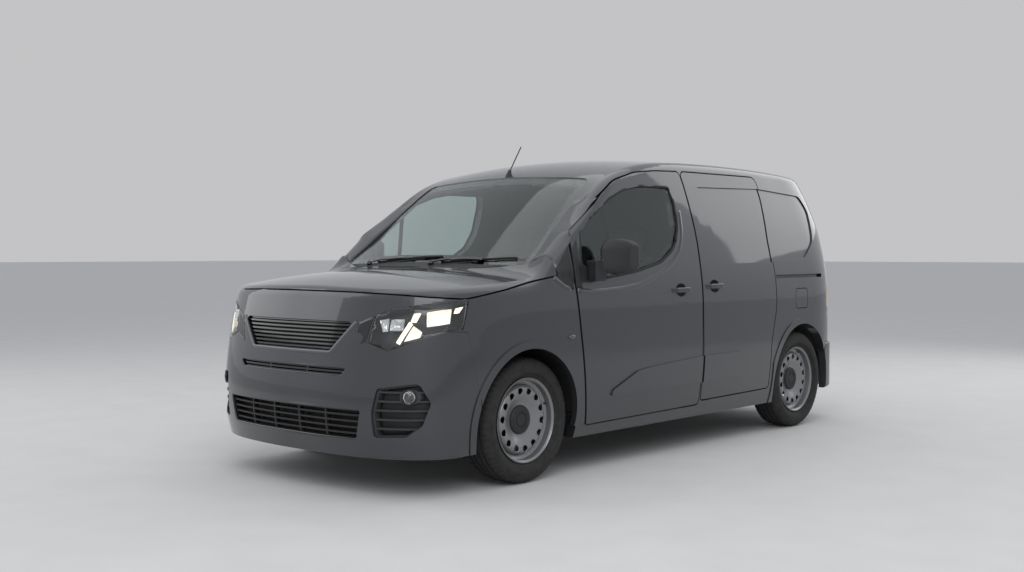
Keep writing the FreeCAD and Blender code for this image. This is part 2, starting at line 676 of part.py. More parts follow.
def lamp_zone(grow):
    front = front_prism(LAMP_FRONT, -2300, -1500, grow)
    side = side_prism(
        [(-2400, 600, 5), (-2400, 1100, 5), (LAMP_REAR_HEAD + grow, 1100, 5),
         (LAMP_REAR_HEAD + grow, 962, 60), (LAMP_REAR_FOOT + grow, 811, 60),
         (LAMP_REAR_FOOT + grow, 600, 5)], 0, FAR)
    return front.common(side)


def headlamp():
    lamp = within(OUTER, 500, FAR, -2250, -1700, 690, 1050).common(lamp_zone(-1.0))
    lamp = lamp.cut(BONNET_HOLE)
    return largest(lamp.cut(within(tub(90.0), 400, FAR, -2260, -1690, 600, 1060)))


def bumper_zone(grow):
    """The nose: below the bonnet's front edge, and ahead of the wings."""
    return side_prism(
        [(-2400, 100, 5), (-2400, 1003, 5), (-1990 + grow, 1003, 5), (-1990 + grow, 812, 5),
         (-1766 + grow, 806, 20), (-1738 + grow, 640, 60), (-1700 + grow, 500, 5),
         (-1640 + grow, 100, 5)], -FAR, FAR)


def front_bumper():
    nose = within(OUTER, -FAR, FAR, -FAR, -1600, 0, 1002.5).common(bumper_zone(0.0))
    nose = nose.cut(within(BAY_FORM, -FAR, FAR, -FAR, -1590, 0, FAR))
    nose = nose.cut(BONNET_HOLE)
    for corners in (UPPER_GRILLE, UPPER_SLOT, LOWER_INTAKE):
        nose = nose.cut(front_prism(corners, -2400, -1700))
    for tool in (lamp_zone(0.0), FRONT_ARCH, front_prism(FOG_POD, -2400, -1700)):
        nose = nose.cut(tool).cut(mirrored(tool))
    lip = arch_lip(FRONT_ARCH_AT, FRONT_ARCH_RADIUS, bumper_zone(0.0))
    return largest(largest(nose).fuse([lip, mirrored(lip)]))


WING_LINES = [
    (-2050, 812, 5), (-2050, 1400, 5), (-1020, 1400, 5), (-1014, 1085, 5), (-982, 1040, 200),
    (-948, 800, 900), (-915, 560, 600), (-870, 262, 5), (-1640, 262, 5), (-1738, 640, 60), (-1766, 808, 20),
]


def front_wing():
    zone = side_prism(WING_LINES, 500, FAR, -PANEL_GAP)
    wing = within(LEFT_OUTER, 440, FAR, -2100, -850, 200, 1250).common(zone)
    wing = wing.cut(lamp_zone(0.0)).cut(FRONT_ARCH).cut(BONNET_HOLE).cut(bumper_zone(PANEL_GAP))
    wing = wing.cut(side_prism(FRONT_DOOR, 560, FAR, HALF_GAP)).cut(box(0, FAR, -1131, FAR, 1086, FAR))
    wing = wing.cut(SCUTTLE_CUT)
    wing = wing.cut(within(LEFT_BAY, 430, FAR, -2110, -851, 100, 1260))
    room = zone.cut(bumper_zone(PANEL_GAP)).cut(side_prism(FRONT_DOOR, 560, FAR, HALF_GAP))
    return largest(largest(wing).fuse(arch_lip(FRONT_ARCH_AT, FRONT_ARCH_RADIUS, room)))


def lattice(corners, count, dividers):
    """A rim round the opening, level bars across it and upright dividers, all following the nose."""
    low = min(z for x, z, r in corners)
    high = max(z for x, z, r in corners)
    wide = max(x for x, z, r in corners) + 5
    near = min(x for x, z, r in corners) - 5
    layer = within(tub(GRILLE_INSET), near, wide, -2400, -1850, low - 5, high + 5)
    rest = within(tub(GRILLE_INSET + GRILLE_DEPTH), -1000, 1000, -2400, -1800, low - 20, high + 20)
    layer = layer.cut(rest)
    layer = layer.common(front_prism(corners, -2300, -1850, -SEAT_GAP))
    pitch = (high - low) / (count + 1)
    bars = []
    for i in range(count):
        z = low + pitch * (i + 1)
        bars.append(box(-FAR, FAR, -2300, -1850, z - BAR_THICKNESS / 2, z + BAR_THICKNESS / 2))
    for x in dividers:
        bars.append(box(x - DIVIDER / 2, x + DIVIDER / 2, -2300, -1850, low, high))
    cells = front_prism(corners, -2290, -1860, -SEAT_GAP - BAR_THICKNESS).cut(bars)
    return largest(layer.cut(cells))


def bumper_curve(inset):
    points = [(0, TAIL_Y), (300, TAIL_Y - 3), (574, TAIL_Y - 22), (734, TAIL_Y - 78), (842, TAIL_Y - 195),
              (896, TAIL_Y - 360), (908, TAIL_Y - 600)]
    half = [Vector(max(x - inset, 0), y - inset, 0) for x, y in points]
    row = [Vector(-p.x, p.y, 0) for p in half[:0:-1]] + half
    curve = Part.BSplineCurve()
    curve.interpolate(row)
    return curve.toShape()


def bumper_block(inset, z0, z1):
    curve = bumper_curve(inset)
    first, last = curve.Vertexes[0].Point, curve.Vertexes[-1].Point
    wire = Part.Wire([curve, Part.LineSegment(last, first).toShape()])
    block = Part.Face(wire).extrude(Vector(0, 0, z1 - z0))
    block.translate(Vector(0, 0, z0))
    return block


def rear_bumper():
    block = bumper_block(0.0, 235.0, 562.0)
    block = block.makeFillet(22.0, [e for e in block.Edges if e.Length > 2500])
    bumper = block.cut(bumper_block(45.0, 200.0, 540.0))
    bumper = bumper.cut(bumper_block(45.0, 200.0, 600.0).common(ahead(2106)))
    return largest(bumper.common(rear_bumper_zone(0.0)).cut(both(REAR_ARCH)))


def floor_pan():
    """Cab floor, load floor, firewall and rear wheel boxes as one pressed unit."""
    inside = within(tub(WALL + PANEL_GAP), -FAR, FAR, -1400, FAR, 250, 900)
    cab = inside.common(box(-FAR, FAR, FIREWALL_Y, BULKHEAD_Y + 25, CAB_FLOOR, CAB_FLOOR + FLOOR_PLATE))
    riser = inside.common(box(-FAR, FAR, BULKHEAD_Y, BULKHEAD_Y + 25, CAB_FLOOR, LOAD_FLOOR + FLOOR_PLATE))
    load = inside.common(box(-FAR, FAR, BULKHEAD_Y, 2098, LOAD_FLOOR, LOAD_FLOOR + FLOOR_PLATE))
    wall = side_prism(
        [(FIREWALL_Y, CAB_FLOOR, 1), (FIREWALL_Y, 950, 30), (-1200, 1003, 1), (-1200, 1030, 1),
         (FIREWALL_Y + FIREWALL_PLATE, 976, 30), (FIREWALL_Y + FIREWALL_PLATE, CAB_FLOOR, 1)], -800, 800)
    rests = inside.common(both(box(100, 140, 2080, FAR, LOAD_FLOOR + 3, LOAD_FLOOR + FLOOR_PLATE - 3)))
    floor = cab.fuse(riser).fuse(load).fuse(wall).fuse(rests)
    clear = WALL + POST_CLEARANCE
    post_room = box(560, FAR, 200, 300, CAB_FLOOR - 5, FAR).cut(tub(clear + POST_DEPTH + SEAT_GAP))
    door_room = box(560, FAR, -925.5, BULKHEAD_Y, CAB_FLOOR - 5, FAR).cut(tub(clear))
    floor = floor.cut(both(post_room)).cut(both(door_room))
    floor = floor.fuse(both(box(505, 570, REAR_AXLE_Y - 490, REAR_AXLE_Y - 450, 336.3, LOAD_FLOOR)))
    for side in (1, -1):
        y, z = FRONT_AXLE_Y - 3, 330
        floor = floor.cut(cylinder(LINER_RADIUS + LINER_WALL + SEAT_GAP,
                                   (side * (LINER_INNER_X - SEAT_GAP), y, z), (side * 1200, y, z)))
        y, z = REAR_AXLE_Y + 3, 338
        outer = cylinder(LINER_RADIUS + LINER_WALL, (side * REAR_LINER_INNER_X, y, z), (side * 1200, y, z))
        wall_x = side * (REAR_LINER_INNER_X + LINER_WALL)
        hollow = cylinder(LINER_RADIUS, (wall_x, y, z), (side * 1200, y, z))
        house = inside.common(outer).cut(hollow).common(above(420))
        floor = floor.cut(outer).fuse(house)
    return largest(floor)


def wheel_liner():
    """Front wheel housing, closed at its inner end towards the footwell."""
    y, z = FRONT_AXLE_Y - 3, 330
    inside = within(tub(FRONT_WALL + PANEL_GAP), 430, FAR, -1800, -800, 250, 800)
    outer = cylinder(LINER_RADIUS + LINER_WALL, (LINER_INNER_X, y, z), (1200, y, z))
    hollow = cylinder(LINER_RADIUS, (LINER_INNER_X + LINER_WALL, y, z), (1200, y, z))
    liner = outer.cut(hollow).common(above(z))
    liner = liner.cut(box(0, LINER_INNER_X + LINER_WALL, -FAR, FIREWALL_Y + 40, 0, FAR))
    liner = inside.common(liner).fuse(cylinder(TOWER_RADIUS, kingpin(706), kingpin(852)))
    liner = liner.cut(cylinder(TOWER_RADIUS - LINER_WALL, kingpin(600), kingpin(846.3)))
    return largest(liner.cut(box(700, FAR, -1100, -800, 0, 290)))


def kingpin(z):
    share = (z - KINGPIN_FOOT[1]) / (KINGPIN_HEAD[1] - KINGPIN_FOOT[1])
    return Vector(KINGPIN_FOOT[0] + share * (KINGPIN_HEAD[0] - KINGPIN_FOOT[0]), FRONT_AXLE_Y, z)


def knuckle():
    """Upright with its strut along the steering axis."""
    y = FRONT_AXLE_Y
    strut = cylinder(24, kingpin(480), kingpin(790))
    rod = cylinder(11, kingpin(780), kingpin(846))
    spring_seat = cylinder(50, kingpin(600), kingpin(608))
    upright = cylinder(22, kingpin(225), kingpin(490))
    carrier = cylinder(48, (655, y, 326), (FRONT_TRACK / 2 - HUB_INNER - SEAT_GAP, y, 326))
    arm = cylinder(14, (690, y, 290), (640, y + 130, 290))
    return largest(strut.fuse([rod, spring_seat, upright, carrier, arm]))


def front_subframe():
    """Cross member with a lower arm on each side, up to the ball joints."""
    y = FRONT_AXLE_Y
    frame = box(-400, 400, y - 110, y + 160, 172, 232)
    frame = frame.cut(box(-230, 230, y - 50, y + 100, 100, 300))
    arm = plan_prism([(380, y - 100, 8), (430, y - 100, 20), (640, y - 28, 60), (738, y - 24, 20),
                      (738, y + 24, 20), (640, y + 28, 60), (430, y + 150, 20), (380, y + 150, 8)],
                     176, 206)
    arm = arm.fuse(cylinder(20, kingpin(192), kingpin(225 - SEAT_GAP)))
    return largest(frame.fuse([arm, mirrored(arm)]))


def chassis_rails():
    """Side members from under the cab floor to the nose."""
    rail = box(410, 460, -2080, -700, 232.3, 289.7).fuse(box(410, 460, -1071, -700, 260, CAB_FLOOR))
    beam = box(-560, 560, -2086.5, -2050, 240, 280)
    return largest(beam.fuse([rail, mirrored(rail)]))


def rear_axle():
    """Twist beam with trailing arms and a stub for each wheel."""
    y = REAR_AXLE_Y
    beam = cylinder(42, (-590, y - 220, 325), (590, y - 220, 325))
    beam = beam.cut(box(-540, 540, y - 300, y - 140, 200, 305))
    parts = []
    for side in (1, -1):
        path = [(side * 540, y - 470, 300), (side * 596, y - 220, 320), (side * 612, y, 326)]
        parts.append(cylinder(28, path[0], path[1]))
        parts.append(Part.makeSphere(28, Vector(*path[1])))
        parts.append(cylinder(28, path[1], path[2]))
        hub_x = side * (REAR_TRACK / 2 - HUB_INNER - SEAT_GAP)
        parts.append(cylinder(44, (side * 590, y, TYRE_RADIUS), (hub_x, y, TYRE_RADIUS)))
        parts.append(cylinder(36, (side * 500, y - 470, 300), (side * 575, y - 470, 300)))
    return largest(beam.fuse(parts))


def tyre(centre_x, y, side):
    """Revolved section: crowned tread, rounded shoulders and bulging walls."""
    half = TYRE_WIDTH / 2
    bead = RIM_RADIUS - 8
    rows = [(-69, bead), (-76, bead + 14), (-half + 5, bead + 34), (-half, bead + 58),
            (-half + 5, TYRE_RADIUS - 36), (-half + 16, TYRE_RADIUS - 13), (-half + 34, TYRE_RADIUS - 3),
            (0, TYRE_RADIUS)]
    rows = rows + [(-a, r) for a, r in rows[-2::-1]]
    curve = Part.BSplineCurve()
    curve.interpolate([Vector(a, r, 0) for a, r in rows])
    close = Part.LineSegment(Vector(69, bead, 0), Vector(-69, bead, 0)).toShape()
    face = Part.Face(Part.Wire([curve.toShape(), close]))
    ring = face.revolve(Vector(0, 0, 0), Vector(1, 0, 0), 360)
    ring.translate(Vector(side * centre_x, y, TYRE_RADIUS))
    return ring


def wheel_rim(centre_x, y, side, drum):
    """Pressed steel wheel with its dished disc and round vents, on its hub and brake."""
    half = RIM_WIDTH / 2
    bead = RIM_RADIUS - 8.3
    top = [(-half, RIM_RADIUS), (-half + 5, RIM_RADIUS), (-half + 9, bead), (-38, bead - 2),
           (-22, bead - 24), (28, bead - 24), (42, bead - 2), (half - 9, bead), (half - 5, RIM_RADIUS),
           (half, RIM_RADIUS)]
    low = [(a, r - RIM_WALL) for a, r in top[::-1]]
    wire = Part.makePolygon([Vector(a, r, 0) for a, r in top + low + top[:1]])
    barrel = Part.Face(wire).revolve(Vector(0, 0, 0), Vector(1, 0, 0), 360)
    edge = bead - 27
    disc_rows = [(20, edge), (32, edge), (54, 172), (60, 158), (56, 132), (40, 98), (34, 84), (34, 30),
                 (24, 30), (24, 88), (30, 104), (46, 136), (51, 158), (45, 167), (24, edge - 8),
                 (20, edge - 8)]
    wire = Part.makePolygon([Vector(a, r, 0) for a, r in disc_rows + disc_rows[:1]])
    disc = Part.Face(wire).revolve(Vector(0, 0, 0), Vector(1, 0, 0), 360)
    holes = []
    for i in range(RIM_HOLES):
        turn = 2 * math.pi * i / RIM_HOLES
        place = Vector(0, RIM_HOLE_CIRCLE * math.cos(turn), RIM_HOLE_CIRCLE * math.sin(turn))
        holes.append(Part.makeCylinder(RIM_HOLE_RADIUS, 80, place, Vector(1, 0, 0)))
    disc = disc.cut(holes)
    parts = [disc, Part.makeCylinder(66, HUB_INNER + 26, Vector(-HUB_INNER, 0, 0), Vector(1, 0, 0)),
             Part.makeCylinder(HUB_CAP_RADIUS, 22, Vector(28, 0, 0), Vector(1, 0, 0)),
             Part.makeCylinder(drum, 30, Vector(-30, 0, 0), Vector(1, 0, 0))]
    wheel = barrel.fuse(parts)
    if side < 0:
        wheel = mirrored(wheel)
    wheel.translate(Vector(side * centre_x, y, TYRE_RADIUS))
    return largest(wheel)


MIRROR_SECTIONS = (
    (948, -752, 0.80), (962, -738, 0.96), (995, -702, 1.0), (1030, -662, 0.9), (1053.5, -634, 0.66),
)


def door_mirror():
    """Housing swept back on an arm that rises from the door's waist."""
    sections = []
    for x, y, scale in MIRROR_SECTIONS:
        y0, y1 = y - 72 * scale, y + 62 * scale
        z0, z1 = 1170 - 92 * scale, 1170 + 98 * scale
        wire = outline([(y0, z0, 45 * scale), (y1, z0, 22), (y1, z1, 22), (y0, z1, 60 * scale)])
        wire.rotate(Vector(0, 0, 0), Vector(1, 0, 0), 90)
        wire.rotate(Vector(0, 0, 0), Vector(0, 0, 1), 90)
        wire.translate(Vector(x, 0, 0))
        sections.append(wire)
    housing = Part.makeLoft(sections, True, False)
    foot = box(850, 965, -862, -772, 1040, 1150)
    door_face = within(tub(-SEAT_GAP), 700, 1000, -900, -500, 1000, 1400)
    return largest(housing.fuse(foot).cut(door_face))


def engine_block():
    block = box(-330, 330, -1700, -1200, 330, 900)
    block = block.makeFillet(30, block.Edges)
    return largest(block.fuse(box(-180, 180, -1600, -1250, 232.3, 345)))


def radiator():
    """Core with two posts on which the closed bonnet rests."""
    core = box(-480, 480, -1990, -1950, 290, 870)
    post = cylinder(BONNET_POST_RADIUS, (BONNET_POST_X, -1970, 860), (BONNET_POST_X, -1970, 1200))
    post = post.common(BAY_FORM)
    post.translate(Vector(0, 0, -SEAT_GAP))
    return largest(core.fuse([post, mirrored(post)]))


STEERING_WHEEL = Vector(370, -590, 1010)
COLUMN_TILT = 32.0
COLUMN_LENGTH = 150.0


def along_column(distance):
    tilt = math.radians(COLUMN_TILT)
    return STEERING_WHEEL + Vector(0, math.cos(tilt) * distance, math.sin(tilt) * distance)


def dashboard():
    corners = [(-1051.5, 700, 10), (-1051.5, 985, 10), (-1140, 1020, 10), (-1120, 1090, 30), (-900, 1108, 60),
               (-762, 1040, 60), (-745, 900, 60), (-800, 760, 40), (-880, 700, 10)]
    shroud = cylinder(40, along_column(-COLUMN_LENGTH - PANEL_GAP), along_column(-COLUMN_LENGTH - 110))
    return largest(side_prism(corners, -780, 780).fuse(shroud))


def seat(x):
    """Cushion, backrest and headrest as one closed form."""
    cushion = box(x - 250, x + 250, -390, 130, 500, 640)
    back = side_prism([(40, 600, 40), (165, 600, 40), (275, 1180, 50), (150, 1190, 50)], x - 245, x + 245)
    head = side_prism([(160, 1170, 20), (250, 1170, 20), (272, 1360, 40), (180, 1370, 40)], x - 130, x + 130)
    return largest(cushion.fuse(back).fuse(head).removeSplitter())


def seat_base(x):
    return box(x - 200, x + 200, -330, 110, CAB_FLOOR + FLOOR_PLATE, 499.7)


def steering_wheel():
    rim = Part.makeTorus(180, 15)
    hub = Part.makeCylinder(62, 34, Vector(0, 0, -34))
    column = Part.makeCylinder(26, COLUMN_LENGTH - 30, Vector(0, 0, -COLUMN_LENGTH))
    parts = [hub, column]
    for turn in (0, 180, 270):
        spoke = box(40, 178, -18, 18, -22, -6)
        spoke.rotate(Vector(0, 0, 0), Vector(0, 0, 1), turn)
        parts.append(spoke)
    wheel = rim.fuse(parts)
    wheel.rotate(Vector(0, 0, 0), Vector(1, 0, 0), -(90 - COLUMN_TILT))
    wheel.translate(STEERING_WHEEL)
    return wheel


def bulkhead():
    inside = body_form(WALL + PANEL_GAP, ROOF_WALL + PANEL_GAP)
    return within(inside, -FAR, FAR, BULKHEAD_Y, BULKHEAD_Y + BULKHEAD_PLATE, LOAD_FLOOR + FLOOR_PLATE, FAR)


def exhaust():
    """Down pipe, long pipe, silencer and tail pipe."""
    x = -210
    path = [(x, -1199.5, 400), (x, -1112, 400), (x, -1112, 240), (x, 1390, 240)]
    parts = [cylinder(24, path[0], path[1]), cylinder(24, path[1], path[2]), cylinder(24, path[2], path[3])]
    parts += [Part.makeSphere(24, Vector(*path[1])), Part.makeSphere(24, Vector(*path[2]))]
    parts += [cylinder(85, (x, 1380, 300), (x, 1800, 300)), cylinder(24, (x, 1790, 300), (x, 2130, 268))]
    return largest(parts[0].fuse(parts[1:]))


def fuel_tank():
    tank = box(40, 460, 380, 1060, 250, LOAD_FLOOR - SEAT_GAP)
    return tank.makeFillet(40, [e for e in tank.Edges if e.BoundBox.ZMax < 300])


def seated(shape, limits):
    """What stands above the body's outside, a seat gap clear of it."""
    above_body = shape.cut(within(OUTER, *limits))
    above_body.translate(Vector(0, 0, SEAT_GAP))
    return above_body


def wipers():
    """Two arms with blades, parked along the foot of the windscreen."""
    arms = []
    for x0, x1 in ((-400, 150), (150, 640)):
        y0 = -1315 + 32 * (x0 / 400) ** 2
        y1 = -1240 + 110 * (x1 / 735) ** 2
        pivot = cylinder(10, (x0, y0, 1040), (x0, y0, 1150))
        arm = cylinder(7, (x0, y0, 1143), (x1, y1, 1188))
        arms.append(largest(seated(pivot.fuse(arm), (-700, 700, -1400, -1100, 900, 1300))))
    return Part.makeCompound(arms)


def aerial():
    """Short rod leaning back over the front of the roof."""
    foot = Part.makeCone(24, 9, 60, Vector(0, -512, 1640), Vector(0, 0.3, 1))
    rod = cylinder(3.5, (0, -497, 1690), (0, -394, 1846))
    return largest(seated(foot.fuse(rod), (-60, 60, -600, -400, 1500, 1800)))


def fog_bezel():
    """Slatted insert of the fog lamp's recess, with the lamp in its upper outer corner."""
    bezel = lattice(FOG_POD, 5, ())
    lamp = cylinder(38, (748, -2100, 500), (748, -1960, 500))
    lamp = lamp.common(within(tub(GRILLE_INSET), 640, 900, -2200, -1800, 400, 620))
    lamp = lamp.cut(within(tub(GRILLE_INSET + GRILLE_DEPTH), 600, 1000, -2300, -1700, 390, 640))
    return largest(bezel.fuse(lamp))


def both_sides():
    yield "front_door", front_door
    yield "door_glass", door_glass
    yield "sliding_door", sliding_door
    yield "rear_door", rear_door
    yield "front_wing", front_wing
    yield "knuckle", knuckle
    yield "wheel_liner", wheel_liner
    yield "mirror", door_mirror


def single_parts():
    yield "tail_lamps", lambda: both(tail_lamp())
    yield "headlamps", lambda: both(headlamp())
    yield "fog_bezels", lambda: both(fog_bezel())
    yield "roof_panel", roof_panel
    yield "windscreen", windscreen
    yield "scuttle_panel", scuttle_panel
    yield "bonnet", bonnet
    yield "front_bumper", front_bumper
    yield "rear_bumper", rear_bumper
    yield "upper_grille", lambda: Part.makeCompound(
        [lattice(UPPER_GRILLE, 7, ()), lattice(UPPER_SLOT, 1, (-150, 150))])
    yield "lower_grille", lambda: lattice(LOWER_INTAKE, 4, (-300, -100, 100, 300))
    yield "floor_pan", floor_pan
    yield "bulkhead", bulkhead
    yield "front_subframe", front_subframe
    yield "rear_axle", rear_axle
    yield "engine_block", engine_block
    yield "radiator", radiator
    yield "chassis_rails", chassis_rails
    yield "fuel_flap", fuel_flap
    yield "dashboard", dashboard
    yield "seats", lambda: Part.makeCompound([seat(370), seat(-370)])
    yield "seat_bases", lambda: Part.makeCompound([seat_base(370), seat_base(-370)])
    yield "steering_wheel", steering_wheel
    yield "exhaust", exhaust
    yield "fuel_tank", fuel_tank
    yield "wipers", wipers
    yield "aerial", aerial


def main():
    os.makedirs("parts", exist_ok=True)
    for name, make in both_sides():
        shape = make()
        save(name + "_left", shape)
        save(name + "_right", mirrored(shape))
    side = body_side_frame()
    save("body_side_left", largest(side.cut(fuel_pocket()).fuse(flap_barrel())))
    save("body_side_right", mirrored(side))
    for name, make in single_parts():
        save(name, make())
    wheels = (("front", FRONT_TRACK / 2, FRONT_AXLE_Y, 138), ("rear", REAR_TRACK / 2, REAR_AXLE_Y, 115))
    for name, centre_x, y, drum in wheels:
        for piece, shape in (("tyre", tyre(centre_x, y, 1)), ("rim", wheel_rim(centre_x, y, 1, drum))):
            save("%s_%s_left" % (piece, name), shape)
            save("%s_%s_right" % (piece, name), mirrored(shape))


main()
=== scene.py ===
import math
import bmesh
import bpy
from mathutils import Matrix, Vector
from mathutils.bvhtree import BVHTree


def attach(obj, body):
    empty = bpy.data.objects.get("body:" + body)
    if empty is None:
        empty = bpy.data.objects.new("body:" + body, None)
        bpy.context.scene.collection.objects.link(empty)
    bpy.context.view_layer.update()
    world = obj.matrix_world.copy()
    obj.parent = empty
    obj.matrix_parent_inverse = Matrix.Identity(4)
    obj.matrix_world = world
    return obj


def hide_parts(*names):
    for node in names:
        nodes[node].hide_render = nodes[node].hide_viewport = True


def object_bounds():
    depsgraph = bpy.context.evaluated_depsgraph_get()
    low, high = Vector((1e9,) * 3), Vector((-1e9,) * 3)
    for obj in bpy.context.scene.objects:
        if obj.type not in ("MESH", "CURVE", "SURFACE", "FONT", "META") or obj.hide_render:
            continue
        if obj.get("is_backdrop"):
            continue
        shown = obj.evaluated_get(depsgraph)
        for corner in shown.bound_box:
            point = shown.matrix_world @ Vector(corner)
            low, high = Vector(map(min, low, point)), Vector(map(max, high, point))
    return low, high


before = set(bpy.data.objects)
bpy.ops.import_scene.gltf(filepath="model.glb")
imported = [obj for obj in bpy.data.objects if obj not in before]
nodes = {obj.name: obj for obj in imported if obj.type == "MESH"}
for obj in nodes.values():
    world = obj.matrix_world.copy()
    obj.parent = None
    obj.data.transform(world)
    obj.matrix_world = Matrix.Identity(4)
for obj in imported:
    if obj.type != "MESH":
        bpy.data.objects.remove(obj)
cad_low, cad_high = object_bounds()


# Painted shell: pressed steel panels, doors and wings in dark metallic grey under clear lacquer.
# A finish is a colour that drifts between two tones, a roughness that varies with it, and a fine
# bump at the scale of the real surface, all in object coordinates.
def finish(name, dark, light, scale, rough, metallic=0.0, bump=0.0, coat=0.0, fine=None, spread=0.12):
    material = bpy.data.materials.new(name)
    material.use_nodes = True
    tree = material.node_tree
    shader = tree.nodes["Principled BSDF"]
    place = tree.nodes.new("ShaderNodeTexCoord")
    tone = tree.nodes.new("ShaderNodeTexNoise")
    tone.inputs["Scale"].default_value = scale
    tone.inputs["Detail"].default_value = 6.0
    ramp = tree.nodes.new("ShaderNodeValToRGB")
    ramp.color_ramp.elements[0].position = 0.32
    ramp.color_ramp.elements[1].position = 0.68
    ramp.color_ramp.elements[0].color = (*dark, 1)
    ramp.color_ramp.elements[1].color = (*light, 1)
    tree.links.new(place.outputs["Object"], tone.inputs["Vector"])
    tree.links.new(tone.outputs["Fac"], ramp.inputs["Fac"])
    tree.links.new(ramp.outputs["Color"], shader.inputs["Base Color"])
    grade = tree.nodes.new("ShaderNodeMapRange")
    grade.inputs["To Min"].default_value = max(rough - spread / 2, 0.0)
    grade.inputs["To Max"].default_value = rough + spread / 2
    tree.links.new(tone.outputs["Fac"], grade.inputs["Value"])
    tree.links.new(grade.outputs["Result"], shader.inputs["Roughness"])
    shader.inputs["Metallic"].default_value = metallic
    shader.inputs["Coat Weight"].default_value = coat
    shader.inputs["Coat Roughness"].default_value = 0.04
    if bump:
        grain = tree.nodes.new("ShaderNodeTexNoise")
        grain.inputs["Scale"].default_value = fine or scale * 4
        grain.inputs["Detail"].default_value = 3.0
        relief = tree.nodes.new("ShaderNodeBump")
        relief.inputs["Strength"].default_value = bump
        relief.inputs["Distance"].default_value = 0.001
        tree.links.new(place.outputs["Object"], grain.inputs["Vector"])
        tree.links.new(grain.outputs["Fac"], relief.inputs["Height"])
        tree.links.new(relief.outputs["Normal"], shader.inputs["Normal"])
    return material


def dress(names, material):
    for name in names:
        nodes[name].data.materials.clear()
        nodes[name].data.materials.append(material)


def both(*names):
    return [name + side for name in names for side in ("_left", "_right")]


paint = finish("paint", (0.036, 0.038, 0.043), (0.058, 0.061, 0.068), 900, 0.40, 0.6, 0.02, 1.0, 1400)
dress(["roof_panel", "bonnet", "front_bumper", "fuel_flap"], paint)
dress(both("body_side", "front_wing", "front_door", "sliding_door", "rear_door"), paint)

# Plastic trim: moulded in grained black, glossy black or grey, clipped to the shell and the cab's
# walls. The rear bumper is moulded too, in a satin dark grey.
black_grain = finish("black_grain", (0.010, 0.010, 0.011), (0.022, 0.022, 0.023), 240, 0.55, 0.0, 0.35, 0.0,
                     1600)
black_gloss = finish("black_gloss", (0.006, 0.006, 0.007), (0.011, 0.011, 0.012), 60, 0.16, 0.0, 0.03, 0.5)
grey_grain = finish("grey_grain", (0.024, 0.025, 0.027), (0.042, 0.043, 0.046), 200, 0.6, 0.0, 0.4, 0.0,
                    1500)
bumper_paint = finish("bumper_paint", (0.045, 0.047, 0.051), (0.062, 0.064, 0.069), 600, 0.42, 0.3, 0.05,
                      0.3)
dress(["scuttle_panel", "lower_grille", "wipers", "aerial"] + both("mirror"), black_grain)
dress(["fuel_tank", "seat_bases", "steering_wheel"], black_grain)
dress(["upper_grille"], black_gloss)
dress(["fog_bezels", "bulkhead", "dashboard", "seats"], grey_grain)
dress(["rear_bumper"], bumper_paint)

# Underside: sealed steel floor and side members, iron axle parts, the alloy engine block and
# radiator, the steel exhaust, and liners of soft black plastic in the wheel arches.
underseal = finish("underseal", (0.014, 0.014, 0.015), (0.034, 0.033, 0.032), 40, 0.8, 0.1, 0.6, 0.0, 400)
cast_iron = finish("cast_iron", (0.045, 0.043, 0.041), (0.085, 0.080, 0.075), 60, 0.65, 0.8, 0.5, 0.0, 600)
alloy = finish("alloy", (0.28, 0.28, 0.29), (0.42, 0.42, 0.43), 40, 0.45, 0.9, 0.4, 0.0, 500)
pipe_steel = finish("pipe_steel", (0.16, 0.145, 0.13), (0.33, 0.31, 0.29), 18, 0.42, 0.9, 0.2, 0.0, 260)
rubber = finish("rubber", (0.009, 0.009, 0.010), (0.018, 0.018, 0.018), 150, 0.7, 0.0, 0.25, 0.0, 900)
dress(["floor_pan", "chassis_rails"], underseal)
dress(["front_subframe", "rear_axle"] + both("knuckle"), cast_iron)
dress(["engine_block", "radiator"], alloy)
dress(["exhaust"], pipe_steel)
dress(both("wheel_liner"), rubber)

# Glass: the windscreen, the door panes and the lamp covers, clear with a faint green tint and a
# hard bright surface.
glass = bpy.data.materials.new("glass")
glass.use_nodes = True
tree = glass.node_tree
shader = tree.nodes["Principled BSDF"]
shader.inputs["Base Color"].default_value = (0.62, 0.70, 0.68, 1)
shader.inputs["Transmission Weight"].default_value = 1.0
shader.inputs["Roughness"].default_value = 0.0
shader.inputs["IOR"].default_value = 1.05
shader.inputs["Coat Weight"].default_value = 1.0
shader.inputs["Coat Roughness"].default_value = 0.02
dress(["windscreen", "headlamps"] + both("door_glass"), glass)


# Studio: a pale floor, soft lights all round, and the photograph's own viewpoint.
def area_light(name, place, target, power, size):
    lamp = bpy.data.objects.new(name, bpy.data.lights.new(name, "AREA"))
    lamp.data.energy = power
    lamp.data.size = size
    lamp.location = place
    lamp.rotation_euler = (Vector(target) - Vector(place)).to_track_quat("-Z", "Y").to_euler()
    bpy.context.collection.objects.link(lamp)


area_light("key_light", (5.5, -6.0, 6.0), (0, 0, 0.8), 260, 6.0)
area_light("fill_light", (-6.0, -5.0, 4.5), (0, 0, 0.8), 120, 6.0)
area_light("roof_light", (0.0, 0.5, 6.5), (0, 0, 0.0), 90, 7.0)
area_light("back_light", (2.0, 7.0, 4.5), (0, 0, 0.9), 110, 5.0)
floor_mesh = bpy.data.meshes.new("studio_floor")
floor_mesh.from_pydata([(-150, -150, 0), (150, -150, 0), (150, 150, 0), (-150, 150, 0)], [], [(0, 1, 2, 3)])
studio_floor = bpy.data.objects.new("studio_floor", floor_mesh)
studio_floor.location.z = cad_low[2] - 0.0005
studio_floor.data.materials.append(finish("floor_paint", (0.60, 0.60, 0.60), (0.63, 0.63, 0.63), 3, 0.75))
bpy.context.collection.objects.link(studio_floor)
studio_floor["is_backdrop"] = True
world = bpy.data.worlds.new("studio")
